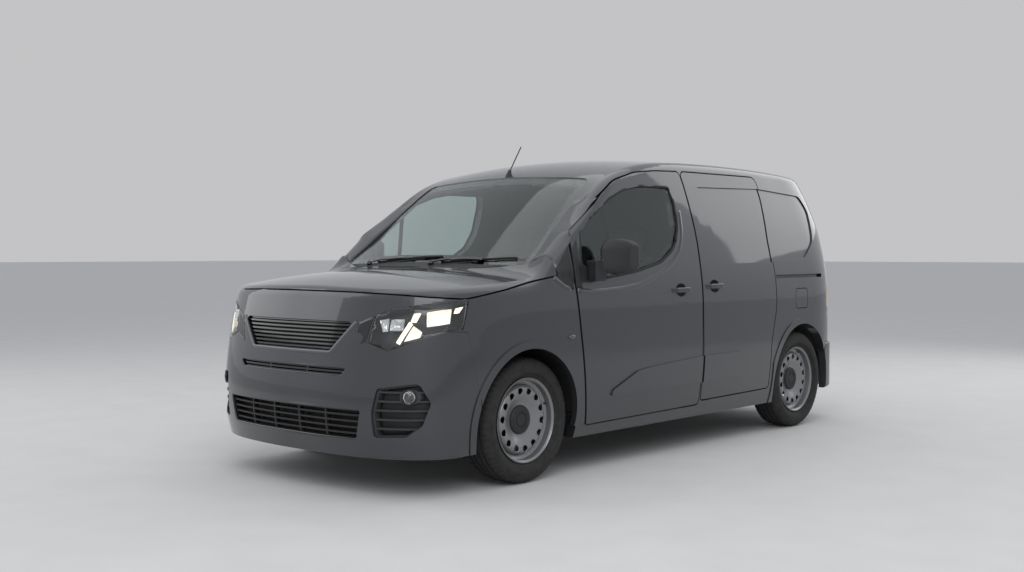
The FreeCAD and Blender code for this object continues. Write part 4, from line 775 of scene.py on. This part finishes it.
inner_rows = [(0.062, 0.2200), (0.078, 0.2500), (0.084, 0.2720), (0.080, 0.2920), (0.064, 0.3090),
              (0.0, 0.3130),
              (-0.064, 0.3090), (-0.080, 0.2920), (-0.084, 0.2720), (-0.078, 0.2500), (-0.062, 0.2200)]
tyre_rows = outer_rows + tread_rows + [(-a, r) for a, r in outer_rows[::-1]] + inner_rows
verts, faces = revolved(tyre_rows, 360)
for index, vert in enumerate(verts):
    degree, (a, r) = index // len(tyre_rows), tyre_rows[index % len(tyre_rows)]
    k = index % len(tyre_rows)
    depth = 0.0
    if 15 <= k < len(outer_rows) + len(tread_rows) + 4 and r > 0.296:
        if abs(a) > 0.0575 and degree % 6 in (0, 1):
            depth = 0.0045 if abs(a) < 0.088 else 0.0015
        elif 0.0245 < abs(a) < 0.0465 and (degree + (3 if a > 0 else 0)) % 6 == 0 and r > 0.32:
            depth = 0.0040
        elif abs(a) < 0.010 and degree % 8 == 0 and r > 0.32:
            depth = 0.0018
    if depth:
        vert.y *= (r - depth) / r
        vert.z *= (r - depth) / r
tyre_mesh = plain_mesh("tyre_tread", verts, faces, tyre_rubber, 28)

barrel_front = [(-0.0825, 0.2205), (-0.0775, 0.2215), (-0.0755, 0.2195), (-0.0735, 0.2122),
                (-0.038, 0.2102), (-0.026, 0.1905), (-0.020, 0.1882),
                (0.024, 0.1882), (0.031, 0.1905), (0.042, 0.2102), (0.0735, 0.2122), (0.0755, 0.2195),
                (0.0775, 0.2215), (0.0825, 0.2205),
                (0.0832, 0.2185), (0.0790, 0.2150), (0.0740, 0.2080), (0.044, 0.2040), (0.034, 0.1850),
                (0.026, 0.1820),
                (-0.020, 0.1820), (-0.028, 0.1850), (-0.040, 0.2040), (-0.0740, 0.2080), (-0.0790, 0.2150),
                (-0.0832, 0.2185)]
barrel_mesh = plain_mesh("wheel_barrel", *revolved([(a, min(r, 0.2205)) for a, r in barrel_front], 120),
                         wheel_silver)
dish = [(0.030, 0.0340), (0.060, 0.0340), (0.084, 0.0345), (0.098, 0.0400), (0.115, 0.0480),
        (0.132, 0.0550), (0.150, 0.0595),
        (0.160, 0.0595), (0.172, 0.0540), (0.1800, 0.0430), (0.1835, 0.0320), (0.1840, 0.0250)]
verts, faces = [], []


def dish_point(turn, r):
    return Vector((smooth_value(dish, r), r * math.cos(turn), r * math.sin(turn)))


vents, inner_edge, outer_edge, vent_at, vent_reach = 14, 0.128, 0.176, 0.152, 0.0180
for sector in range(vents):
    middle = 2 * math.pi * sector / vents
    width = math.pi / vents
    border = []
    for k in range(6):
        border.append((-1 + k / 3, inner_edge))
    for k in range(6):
        border.append((1, inner_edge + (outer_edge - inner_edge) * k / 6))
    for k in range(6):
        border.append((1 - k / 3, outer_edge))
    for k in range(6):
        border.append((-1, outer_edge - (outer_edge - inner_edge) * k / 6))
    for level in range(4):
        for u, r in border:
            turn = middle + u * width
            y, z = (turn - middle) * vent_at, r - vent_at
            heading = math.atan2(z, y)
            share = level / 3
            y2 = y * (1 - share) + vent_reach * math.cos(heading) * share
            z2 = z * (1 - share) + vent_reach * math.sin(heading) * share
            place = dish_point(middle + y2 / vent_at, vent_at + z2)
            verts.append(place)
    base = sector * 4 * 24
    for level in range(3):
        for k in range(24):
            m = (k + 1) % 24
            faces.append((base + level * 24 + k, base + level * 24 + m, base + (level + 1) * 24 + m,
                          base + (level + 1) * 24 + k))
for rows in ([0.040, 0.062, 0.084, 0.091, 0.098, 0.107, 0.116, inner_edge],
             [outer_edge, 0.179, 0.1815, 0.1830, 0.1840]):
    base = len(verts)
    steps = 6 * vents
    for i in range(steps):
        verts += [dish_point(2 * math.pi * i / steps - math.pi / vents, r) for r in rows]
    for i in range(steps):
        j = (i + 1) % steps
        for k in range(len(rows) - 1):
            faces.append((base + i * len(rows) + k, base + i * len(rows) + k + 1,
                          base + j * len(rows) + k + 1, base + j * len(rows) + k))
dish_mesh = plain_mesh("wheel_dish", verts, faces, wheel_silver, 50)
cap_rows = [(0.0310, 0.001), (0.0470, 0.0010), (0.0478, 0.0200), (0.0470, 0.0330), (0.0440, 0.0345),
            (0.0440, 0.0385),
            (0.0478, 0.0400), (0.0482, 0.0560), (0.0465, 0.0690), (0.0420, 0.0745), (0.0350, 0.0768),
            (0.0305, 0.0768), (0.0305, 0.0700)]
cap_mesh = plain_mesh("wheel_cap", *revolved(cap_rows, 84), black_grain, 30)
hub_mesh = plain_mesh("wheel_hub", *revolved([(-0.048, 0.020), (-0.048, 0.064), (-0.010, 0.066),
                                              (-0.002, 0.112), (-0.004, 0.113), (-0.026, 0.113),
                                               (-0.026, 0.066), (0.022, 0.062), (0.027, 0.058),
                                              (0.027, 0.020)], 72), cast_iron, 30)
rib_mesh = plain_mesh("cap_rib", [Vector((a, r, w)) for w in (-0.0012, 0.0012) for a,
                                  r in ((0.0460, 0.042), (0.0492, 0.043), (0.0480, 0.066),
                                        (0.0450, 0.067))],
                      [(0, 1, 2, 3), (7, 6, 5, 4), (0, 4, 5, 1), (1, 5, 6, 2), (2, 6, 7, 3), (3, 7, 4, 0)],
                      black_grain, 25)
valve_mesh = plain_mesh("wheel_valve", *revolved([(0.030, 0.0005), (0.030, 0.0055), (0.040, 0.0040),
                                                  (0.052, 0.0036), (0.058, 0.0042), (0.062, 0.0036),
                                                  (0.062, 0.0005)], 12), rubber)
wheel_pieces = (
    ("tread", tyre_mesh, "tyre"), ("barrel", barrel_mesh, "steel_wheel"), ("dish", dish_mesh, "steel_wheel"),
    ("cap", cap_mesh, "black_plastic"), ("hub", hub_mesh, "cast"), ("ribs", rib_mesh, "black_plastic"),
    ("valve", valve_mesh, "black_plastic"))
for corner, y, half_track, roll in (("front", -1.3095, 0.7765, 0.35), ("rear", 1.4755, 0.784, 1.1)):
    for side, sign in (("left", 1), ("right", -1)):
        hub_place = Matrix.Translation((sign * half_track, y, 0.326))
        if sign < 0:
            hub_place = hub_place @ Matrix.Rotation(math.pi, 4, "Z")
        hub_place = hub_place @ Matrix.Rotation(roll, 4, "X")
        for name, mesh, slot in wheel_pieces:
            piece = bpy.data.objects.new("wheel_%s_%s_%s" % (name, corner, side), mesh.copy())
            bpy.context.collection.objects.link(piece)
            if name == "ribs":
                repeated(piece, 20, black_grain, turn=(math.pi / 10, 0, 0))
            if name == "valve":
                piece.data.transform(Matrix.Translation((-0.004, 0.198, 0.0)))
            if name == "dish":
                shell = piece.modifiers.new("wall", "SOLIDIFY")
                shell.thickness = 0.0055
                shell.offset = -1.0
            piece.data.transform(hub_place)
            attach(piece, "wheel_%s_%s" % (corner, side))
            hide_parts(("tyre_%s_%s" if name == "tread" else "rim_%s_%s") % (corner, side))

# Mirrors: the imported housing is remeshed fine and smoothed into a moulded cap; a glass with a
# thin bezel closes its rearward face.
chrome = finish("chrome", (0.62, 0.63, 0.64), (0.72, 0.73, 0.74), 60, 0.10, 1.0, 0.0, 0.0, None, 0.05)
for side, sign in (("left", 1), ("right", -1)):
    cap = bpy.data.objects.new("mirror_cap_" + side, nodes["mirror_" + side].data.copy())
    bpy.context.collection.objects.link(cap)
    remesh = cap.modifiers.new("remesh", "REMESH")
    remesh.mode = "VOXEL"
    remesh.voxel_size = 0.004
    soften = cap.modifiers.new("soften", "SMOOTH")
    soften.factor, soften.iterations = 0.5, 14
    bpy.context.view_layer.update()
    cap.data = bpy.data.meshes.new_from_object(cap.evaluated_get(bpy.context.evaluated_depsgraph_get()))
    cap.modifiers.clear()
    for polygon in cap.data.polygons:
        polygon.use_smooth = True
    cap.data.materials.clear()
    cap.data.materials.append(black_grain)
    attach(cap, "cab_door_" + side)
    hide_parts("mirror_" + side)
    face = rounded([(0.956, 1.092, 0.030), (1.036, 1.100, 0.030), (1.036, 1.242, 0.032),
                    (0.956, 1.250, 0.035)], 0.02)
    for name, grow, lift, thick, material in (("bezel", 1.0, 0.003, 0.016, black_grain),
                                              ("glass", 0.92, 0.0045, 0.004, chrome)):
        middle = Vector((0.996, 1.171))
        rim = [middle + (p - middle) * grow for p in face]
        count = len(rim)
        verts = []
        for depth in (0.0, thick):
            verts += [Vector((sign * p.x, -0.6385 + 1.02 * (p.x - 0.996) + lift - depth, p.y)) for p in rim]
        faces = [tuple(range(count)), tuple(range(2 * count - 1, count - 1, -1))]
        faces += [(i, (i + 1) % count, count + (i + 1) % count, count + i) for i in range(count)]
        add_mesh("mirror_%s_%s" % (name, side), verts, faces, material, "cab_door_" + side, smooth=False)

# Windscreen: the black printed border under the glass, and the wipers with their arms, hinges
# and rubber blades lying along the foot of the glass.
screen_skin = skin_of(["windscreen", "scuttle_panel", "bonnet"])


def screen_z(x, y):
    for nudge in (0.0, 0.008, -0.008, 0.02, -0.02):
        hit = screen_skin.ray_cast(Vector((x, y + nudge, 3.0)), Vector((0, 0, -1)))[0]
        if hit and hit.z > 0.95:
            return hit.z - nudge * 0.62
    return 1.1


outer_rim = rounded([(-0.734, -1.176, 0.03), (-0.637, -0.528, 0.04), (-0.33, -0.540, 2.0), (0, -0.544, 4.0),
                     (0.33, -0.540, 2.0),
                     (0.637, -0.528, 0.04), (0.734, -1.176, 0.03), (0.40, -1.256, 0.9), (0, -1.282, 2.0),
                     (-0.40, -1.256, 0.9)])
verts, faces = [], []
for p in outer_rim:
    middle = Vector((0.0, -0.88))
    inward = Vector((1 - 0.045 / 0.69, 1 - (0.055 if p.y > -0.8 else 0.075) / 0.36))
    q = Vector((p.x * inward.x, middle.y + (p.y - middle.y) * inward.y))
    for spot in (p, q):
        z = screen_z(spot.x * 0.992, middle.y + (spot.y - middle.y) * 0.985)
        z += (spot.y - (middle.y + (spot.y - middle.y) * 0.985)) * 0.66
        verts.append(Vector((spot.x, spot.y, z - 0.0078)))
count = len(outer_rim)
for i in range(count):
    j = (i + 1) % count
    faces.append((2 * i, 2 * i + 1, 2 * j + 1, 2 * j))
frit = add_mesh("screen_border", verts, faces, black_gloss, "body")
frit_wall = frit.modifiers.new("wall", "SOLIDIFY")
frit_wall.thickness = 0.0008

for index, (x0, x1) in enumerate(((-0.400, 0.150), (0.150, 0.640))):
    y0, y1 = -1.315 + 0.032 * (x0 / 0.4) ** 2, -1.240 + 0.110 * (x1 / 0.735) ** 2
    label = "left" if index else "right"
    pivot_z = screen_z(x0, y0)
    verts, faces = revolved([(0.0003, 0.001), (0.0003, 0.017), (0.010, 0.016), (0.020, 0.012),
                             (0.024, 0.008), (0.0245, 0.001)], 24)
    verts = [Vector((v.y + x0, v.z + y0, v.x + pivot_z)) for v in verts]
    pivot = add_mesh("wiper_pivot_" + label, verts, faces, black_gloss, "body")
    arm_path = []
    for k in range(15):
        t = k / 14
        x, y = x0 + (x1 - x0) * 0.62 * t, y0 + (y1 - y0) * 0.62 * t
        arm_path.append(Vector((x, y, screen_z(x, y) + 0.014 + 0.010 * math.sin(math.pi * t))))
    arm = sweep("wiper_arm_" + label, arm_path, Vector((0, -0.5, 0.86)),
                [(-0.008, -0.003), (0.008, -0.003), (0.0065, 0.004), (-0.0065, 0.004)], black_gloss, "body",
                closed=False)
    blade_path = []
    for k in range(25):
        t = k / 24
        x, y = x0 + (x1 - x0) * (0.10 + 0.92 * t), y0 + (y1 - y0) * (0.10 + 0.92 * t) + 0.012
        blade_path.append(Vector((x, y, screen_z(x, y) + 0.0065)))
    smoothed = []
    for i in range(25):
        smoothed.append((blade_path[max(i - 1, 0)] + blade_path[i] * 2 + blade_path[min(i + 1, 24)]) / 4)
    blade = sweep("wiper_blade_" + label, smoothed, Vector((0, -0.5, 0.86)),
                  [(-0.006, 0.001), (-0.0012, -0.0055), (0.0012, -0.0055), (0.006, 0.001), (0.0055, 0.005),
                   (-0.004, 0.006)],
                  rubber, "body", closed=False)
    for piece in (pivot, arm, blade):
        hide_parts("wipers")

# Side fittings: a black sheet laid in the cup behind each handle as painted shade for the shadow in the recess,
# the rail of the sliding door in its slot and the clear oval repeater on the wing.
cup_deep, cup_half_long, cup_half_high, cup_rings, cup_spokes = 0.0235, 0.056, 0.040, 8, 32
for side, sign in (("left", 1), ("right", -1)):
    for name, y, z, body in (("cab", 0.012, 0.972, "cab_door_" + side), ("slide", 0.378, 0.988, "body")):
        x = (side_x(y, z + 0.055) + side_x(y, z - 0.055)) / 2
        verts, faces = [Vector((sign * (x - cup_deep), y, z))], []
        for ring in range(1, cup_rings + 1):
            share = 0.97 * ring / cup_rings
            for s in range(cup_spokes):
                turn = 2 * math.pi * s / cup_spokes
                verts.append(Vector((sign * (x - cup_deep * math.sqrt(1 - share ** 2)),
                                     y + cup_half_long * share * math.cos(turn),
                                     z + cup_half_high * share * math.sin(turn))))
        for s in range(cup_spokes):
            n = (s + 1) % cup_spokes
            faces.append((0, 1 + s, 1 + n))
            for ring in range(cup_rings - 1):
                a, b = 1 + ring * cup_spokes, 1 + (ring + 1) * cup_spokes
                faces.append((a + s, b + s, b + n, a + n))
        # The black sheet in the cup is painted shade: it darkens the recess behind the handle in place of its
        # shadow.
        cup = add_mesh("handle_cup_shade_%s_%s" % (name, side), verts, faces, black_grain, body)
        cup_wall = cup.modifiers.new("wall", "SOLIDIFY")
        cup_wall.thickness = 0.0008
    rail = [Vector((sign * (side_x(1.141 + 0.655 * k / 20, 1.075) - 0.014), 1.143 + 0.652 * k / 20,
                    1.035)) for k in range(21)]
    sweep("slide_rail_" + side, rail, Vector((sign, 0, 0)),
          [(-0.009, -0.005), (0.009, -0.005), (0.009, 0.004), (0.004, 0.004), (0.004, -0.001),
           (-0.004, -0.001), (-0.004, 0.004), (-0.009, 0.004)],
          black_gloss, "body", closed=False)
    middle = Vector((side_x(-1.016, 0.746), -1.016, 0.746))
    verts, faces = [], []
    for ring in range(6):
        share = 1 - ring / 5
        for s in range(32):
            turn = 2 * math.pi * s / 32
            verts.append(Vector((sign * (middle.x + 0.001 + 0.006 * math.sqrt(max(1 - share ** 2, 0))),
                                 middle.y + 0.031 * share * math.cos(turn),
                                 middle.z + 0.013 * share * math.sin(turn))))
    for ring in range(5):
        for s in range(32):
            n = (s + 1) % 32
            faces.append((ring * 32 + s, ring * 32 + n, (ring + 1) * 32 + n, (ring + 1) * 32 + s))
    faces.append(tuple(range(32)))
    add_mesh("repeater_" + side, verts, faces, satin_trim, "body")

# Fog lamps: a clear domed glass over a bright bowl, in a ring on the slatted bezel.
for side, sign in (("left", 1), ("right", -1)):
    at = Vector((0.748, nose_y(0.748, 0.500) + 0.012, 0.500))
    slope = (nose_y(0.768, 0.5) - nose_y(0.728, 0.5)) / 0.04
    out = Vector((slope, -1, -0.05)).normalized()
    across = Vector((0, 0, 1)).cross(out).normalized()
    up = out.cross(across)
    for name, rows, material in (
            ("glass", [(0.004, 0.0305), (0.008, 0.028), (0.0125, 0.020), (0.015, 0.010), (0.0158, 0.0004),
                       (0.0135, 0.0004), (0.0105, 0.019), (0.0062, 0.0265), (0.002, 0.0290)], clear_lens),
            ("ring", [(-0.004, 0.030), (0.006, 0.0300), (0.010, 0.0320), (0.010, 0.0355), (0.005, 0.0372),
                      (-0.004, 0.0372)], black_gloss),
            ("bowl", [(0.0015, 0.0295), (-0.006, 0.022), (-0.012, 0.012), (-0.014, 0.0004),
                      (-0.0155, 0.0004), (-0.0135, 0.0125), (-0.0075, 0.0232), (-0.0005, 0.0298)],
             reflector)):
        verts, faces = revolved(rows, 40)
        placed_verts = []
        for v in verts:
            spot = at + out * v.x + across * v.y + up * v.z
            placed_verts.append(Vector((spot.x * sign, spot.y, spot.z)))
        add_mesh("fog_%s_%s" % (name, side), placed_verts, faces, material, "body")

# Tail lamps: the imported lens sliced into red, amber and clear bands.
red_lens = finish("red_lens", (0.22, 0.004, 0.004), (0.34, 0.008, 0.006), 50, 0.12, 0.0, 0.02, 1.0)
dress(["tail_lamps"], red_lens)
clear_white = finish("clear_white", (0.55, 0.55, 0.56), (0.70, 0.70, 0.71), 60, 0.12, 0.1, 0.03, 1.0)
lamp_mesh = nodes["tail_lamps"].data.copy()
work = bmesh.new()
work.from_mesh(lamp_mesh)
bmesh.ops.remove_doubles(work, verts=work.verts, dist=0.00005)
for level in (0.812, 0.868, 0.925):
    bmesh.ops.bisect_plane(work, geom=work.verts[:] + work.edges[:] + work.faces[:], plane_co=(0, 0, level),
                           plane_no=(0, 0, 1), dist=0.00001)
lamp_mesh.materials.clear()
for material in (red_lens, amber, clear_white, black_gloss):
    lamp_mesh.materials.append(material)
for face in work.faces:
    height = face.calc_center_median().z
    face.material_index = 1 if 0.868 < height < 0.925 else 2 if 0.812 < height < 0.868 else 0
    face.smooth = True
work.to_mesh(lamp_mesh)
work.free()
tail = bpy.data.objects.new("tail_lamp_lenses", lamp_mesh)
bpy.context.collection.objects.link(tail)
tail.data.set_sharp_from_angle(angle=math.radians(35))
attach(tail, "body")
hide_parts("tail_lamps")

# Rear doors: the lamp bar over the bare place of the plate, the handle, and the outside hinges.
rear_skin = skin_of(["rear_door_left", "rear_door_right"])


def rear_y(x, z):
    hit = rear_skin.ray_cast(Vector((x, 3.0, z)), Vector((0, -1, 0)))[0]
    return hit.y if hit else 2.15


def rear_slab(name, corners, lift, material, body, thick=0.006):
    ring = rounded(corners, 0.02)
    count = len(ring)
    verts = [Vector((p.x, rear_y(p.x, p.y) + lift, p.y)) for p in ring]
    verts += [v - Vector((0, thick, 0)) for v in verts]
    faces = [tuple(range(count)), tuple(range(2 * count - 1, count - 1, -1))]
    faces += [(i, (i + 1) % count, count + (i + 1) % count, count + i) for i in range(count)]
    return add_mesh(name, verts, faces, material, body, smooth=False)


rear_slab("plate_lamp_bar", [(0.100, 0.905, 0.010), (0.560, 0.905, 0.010), (0.560, 0.938, 0.014),
                             (0.100, 0.938, 0.014)], 0.022, black_grain, "load_door_left", 0.026)
rear_slab("rear_handle", [(0.030, 0.965, 0.014), (0.200, 0.965, 0.014), (0.200, 0.997, 0.014),
                          (0.030, 0.997, 0.014)], 0.020, black_grain, "load_door_left", 0.024)
for side, sign in (("left", 1), ("right", -1)):
    for level, reach in ((0.66, 0.698), (1.36, 0.668)):
        x = sign * reach
        corners = [(x - 0.030, level, 0.008), (x + 0.030, level, 0.008), (x + 0.030, level + 0.07, 0.008),
                   (x - 0.030, level + 0.07, 0.008)]
        rear_slab("rear_hinge_%s_%d" % (side, level * 100), corners, 0.012, paint, "load_door_" + side,
                  0.016)

# Rear bumper: a ribbed step pad on its top and two red reflectors.
bumper_skin = skin_of(["rear_bumper"])


def bumper_y(x, z):
    hit = bumper_skin.ray_cast(Vector((x, 3.0, z)), Vector((0, -1, 0)))[0]
    return hit.y if hit else 2.15


def on_bumper(x, z, y):
    return Vector((x, bumper_y(x, z) + y, z))


def bumper_piece(name, corners, proud, material):
    ring = rounded(corners, 0.02)
    count = len(ring)
    verts = [on_bumper(p.x, p.y, proud) for p in ring] + [on_bumper(p.x, p.y, -0.004) for p in ring]
    faces = [tuple(range(count)), tuple(range(2 * count - 1, count - 1, -1))]
    faces += [(i, (i + 1) % count, count + (i + 1) % count, count + i) for i in range(count)]
    return add_mesh(name, verts, faces, material, "body", smooth=False)


for side, sign in (("left", 1), ("right", -1)):
    low, high = sorted((sign * 0.700, sign * 0.815))
    bumper_piece("rear_reflector_" + side, [(low, 0.300, 0.008), (high, 0.300, 0.008), (high, 0.330, 0.008),
                                            (low, 0.330, 0.008)], -0.0005, red_lens)
rib = plain_mesh("step_rib", [Vector((x, y, z)) for z in (0.0, 0.0022) for x,
                              y in ((-0.0035, 0.0), (0.0035, 0.0), (0.0035, 0.042), (-0.0035, 0.042))],
                 [(3, 2, 1, 0), (4, 5, 6, 7), (0, 1, 5, 4), (1, 2, 6, 5), (2, 3, 7, 6), (3, 0, 4, 7)],
                 black_grain, 25)
ribs = bpy.data.objects.new("rear_step_ribs", rib)
bpy.context.collection.objects.link(ribs)
repeated(ribs, 61, black_grain, step=(0.018, 0, 0))
ribs.data.transform(Matrix.Translation((-0.54, 2.125, 0.5618)))
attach(ribs, "body")

# Cab: padded seats.
cloth_grey = finish("cloth_grey", (0.030, 0.031, 0.034), (0.058, 0.059, 0.063), 420, 0.92, 0.0, 0.6, 0.0,
                    2600)


def soft_block(half, radius, shape):
    work = bmesh.new()
    bmesh.ops.create_cube(work, size=2.0)
    bmesh.ops.subdivide_edges(work, edges=work.edges[:], cuts=14, use_grid_fill=True)
    for vert in work.verts:
        p = Vector((vert.co.x * half[0], vert.co.y * half[1], vert.co.z * half[2]))
        core = Vector([max(-h + radius, min(h - radius, v)) for h, v in zip(half, p)])
        away = p - core
        if away.length > 1e-6:
            p = core + away.normalized() * radius
        vert.co = shape(p)
    mesh = bpy.data.meshes.new("soft_block")
    work.to_mesh(mesh)
    work.free()
    return mesh


def swollen(mesh, cap, pressure=4.0):
    piece = bpy.data.objects.new("pad_form", mesh)
    bpy.context.collection.objects.link(piece)
    remesh = piece.modifiers.new("remesh", "REMESH")
    remesh.mode, remesh.voxel_size = "VOXEL", 0.009
    bpy.context.view_layer.update()
    piece.data = bpy.data.meshes.new_from_object(piece.evaluated_get(bpy.context.evaluated_depsgraph_get()))
    piece.modifiers.clear()
    start = [v.co.copy() for v in piece.data.vertices]
    cloth = piece.modifiers.new("cloth", "CLOTH")
    cloth.settings.use_pressure = True
    cloth.settings.uniform_pressure_force = pressure
    cloth.settings.effector_weights.gravity = 0
    cloth.point_cache.frame_start, cloth.point_cache.frame_end = 1, 14
    for frame_number in range(1, 15):
        bpy.context.scene.frame_set(frame_number)
    bpy.context.view_layer.update()
    full = bpy.data.meshes.new_from_object(piece.evaluated_get(bpy.context.evaluated_depsgraph_get()))
    piece.modifiers.clear()
    piece.data = full
    for vert, before in zip(piece.data.vertices, start):
        move = vert.co - before
        if move.length > cap:
            vert.co = before + move.normalized() * cap
    bpy.context.scene.frame_set(1)
    return piece


def seamed(piece, lines, depth, width):
    for vert in piece.data.vertices:
        normal = vert.normal
        for axis, at, facing in lines:
            if normal[facing[0]] * facing[1] > 0.3:
                off = abs(abs(vert.co[axis]) - at) if axis == 0 else abs(vert.co[axis] - at)
                vert.co -= normal * depth * math.exp(-(off / width) ** 2)


def crowned_seat(p):
    return p + Vector((0, 0, 0.010 * (abs(p.x) > 0.16) + 0.006 * (p.y < -0.15)))


def winged_back(p):
    return p + Vector((0, -0.012 * (abs(p.x) > 0.15), 0))


cushion = swollen(soft_block((0.232, 0.240, 0.050), 0.042, crowned_seat), 0.014)
seamed(cushion, [(0, 0.155, (2, 1)), (1, 0.10, (2, 1)), (1, -0.12, (2, 1))], 0.007, 0.007)
backrest = swollen(soft_block((0.228, 0.046, 0.262), 0.042, winged_back), 0.012)
seamed(backrest, [(0, 0.150, (1, -1)), (2, 0.12, (1, -1)), (2, -0.10, (1, -1))], 0.007, 0.007)
headrest = swollen(soft_block((0.116, 0.036, 0.080), 0.034, lambda p: p), 0.010)
seamed(headrest, [(0, 0.075, (1, -1))], 0.004, 0.006)
for form, place, lean, name, fill in ((cushion, (0, -0.130, 0.568), 0.0, "seat_cushion", 0.8),
                                      (backrest, (0, 0.145, 0.918), -0.187, "seat_back", 0.8),
                                      (headrest, (0, 0.218, 1.272), -0.12, "headrest", 0.85)):
    for side, x in (("left", 0.370), ("right", -0.370)):
        pad = bpy.data.objects.new(name + "_" + side, form.data.copy())
        bpy.context.collection.objects.link(pad)
        pad.data.transform(Matrix.Translation((x, place[1], place[2])) @ Matrix.Rotation(lean, 4, "X"))
        for polygon in pad.data.polygons:
            polygon.use_smooth = True
        pad.data.materials.clear()
        pad.data.materials.append(cloth_grey)
        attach(pad, "body")
        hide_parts("seats")
    bpy.data.objects.remove(form)
for side, x in (("left", 0.370), ("right", -0.370)):
    for offset in (-0.045, 0.045):
        posts = [Vector((x + offset, 0.188, 1.150)), Vector((x + offset, 0.196, 1.180)),
                 Vector((x + offset, 0.204, 1.215))]
        sweep("headrest_post_%s_%s" % (side, "outer" if offset > 0 else "inner"), posts, Vector((1, 0, 0)),
              [(0.006 * math.cos(k * math.pi / 5), 0.006 * math.sin(k * math.pi / 5)) for k in range(10)],
              chrome, "body", closed=False)

# Dash, headlining and visors, seen through the glass.
def moulded(name, corners, z0, z1, place, material, body, bevel=0.006):
    ring = rounded([(a, b, r) for a, b, r in corners], 0.03)
    count = len(ring)
    verts = [place(p.x, p.y, z0) for p in ring] + [place(p.x, p.y, z1) for p in ring]
    faces = [tuple(range(count))[::-1], tuple(range(count, 2 * count))]
    faces += [(i, (i + 1) % count, count + (i + 1) % count, count + i) for i in range(count)]
    piece = add_mesh(name, verts, faces, material, body, smooth=False)
    soft_edge = piece.modifiers.new("edge", "BEVEL")
    soft_edge.width, soft_edge.segments, soft_edge.limit_method = bevel, 3, "ANGLE"
    return piece


def on_dash(x, y, lift):
    return Vector((x, y, 1.108 + (y + 0.90) * (-0.49 if y > -0.9 else 0.082) + lift))


moulded("dash_hood", [(0.230, -0.935, 0.03), (0.510, -0.935, 0.03), (0.530, -0.800, 0.05),
                      (0.210, -0.800, 0.05)], -0.012, 0.034, on_dash, black_grain, "body", 0.012)
moulded("dash_tray", [(-0.150, -1.000, 0.02), (0.150, -1.000, 0.02), (0.150, -0.900, 0.02),
                      (-0.150, -0.900, 0.02)], -0.006, 0.006, on_dash, black_grain, "body")
for side, x0, x1 in (("left", 0.10, 0.62), ("right", -0.62, -0.10)):
    moulded("demister_" + side, [(x0, -1.075, 0.006), (x1, -1.075, 0.006), (x1, -1.045, 0.006),
                                 (x0, -1.045, 0.006)], -0.004, 0.002, on_dash, black_gloss, "body", 0.001)
slat_mesh = plain_mesh("vent_slat", [Vector((-0.045, a, b)) for a,
                                     b in ((0, 0), (0.008, 0.003), (0.008, 0.005), (0, 0.002))]
                       + [Vector((0.045, a, b)) for a, b in ((0, 0), (0.008, 0.003), (0.008, 0.005),
                                                             (0, 0.002))],
                       [(0, 1, 2, 3), (7, 6, 5, 4), (0, 4, 5, 1), (1, 5, 6, 2), (2, 6, 7, 3), (3, 7, 4, 0)],
                       black_gloss)
for label, x in (("far_left", 0.66), ("left", 0.10), ("right", -0.10), ("far_right", -0.66)):
    slats = bpy.data.objects.new("dash_vent_" + label, slat_mesh.copy())
    bpy.context.collection.objects.link(slats)
    repeated(slats, 6, black_gloss, step=(0, 0.0005, 0.011))
    slats.data.transform(Matrix.Translation((x, -0.7565, 0.955)))
    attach(slats, "body")
moulded("centre_screen", [(-0.130, 0.800, 0.01), (0.130, 0.800, 0.01), (0.130, 0.930, 0.01),
                          (-0.130, 0.930, 0.01)], -0.7640, -0.7440,
        lambda x, z, y: Vector((x, y - (0.93 - z) * 0.25, z)), black_gloss, "body", 0.002)
roof_skin = skin_of(["roof_panel"])
verts, faces = [], []
for j in range(13):
    for i in range(17):
        x, y = -0.60 + 1.20 * i / 16, -0.50 + 0.80 * j / 12
        hit = roof_skin.ray_cast(Vector((x, y, 1.30)), Vector((0, 0, 1)))[0]
        verts.append(Vector((x, y, (hit.z if hit else 1.65) - 0.004)))
for j in range(12):
    for i in range(16):
        k = j * 17 + i
        faces.append((k, k + 1, k + 18, k + 17))
lining_grey = finish("lining_grey", (0.34, 0.34, 0.33), (0.42, 0.42, 0.41), 300, 0.9, 0.0, 0.4, 0.0, 1200)
lining = add_mesh("headlining", verts, faces, lining_grey, "body")
lining_wall = lining.modifiers.new("wall", "SOLIDIFY")
lining_wall.thickness = 0.003


def under_roof(x, y, lift):
    hit = roof_skin.ray_cast(Vector((x, y, 1.3)), Vector((0, 0, 1)))[0]
    return Vector((x, y, (hit.z if hit else 1.62) + lift))


for side, x in (("left", 0.36), ("right", -0.36)):
    visor = [(x - 0.20, -0.490, 0.03), (x + 0.20, -0.490, 0.03), (x + 0.20, -0.360, 0.04),
             (x - 0.20, -0.360, 0.04)]
    moulded("sun_visor_" + side, visor, -0.030, -0.010, under_roof, lining_grey, "body", 0.006)

low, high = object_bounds()
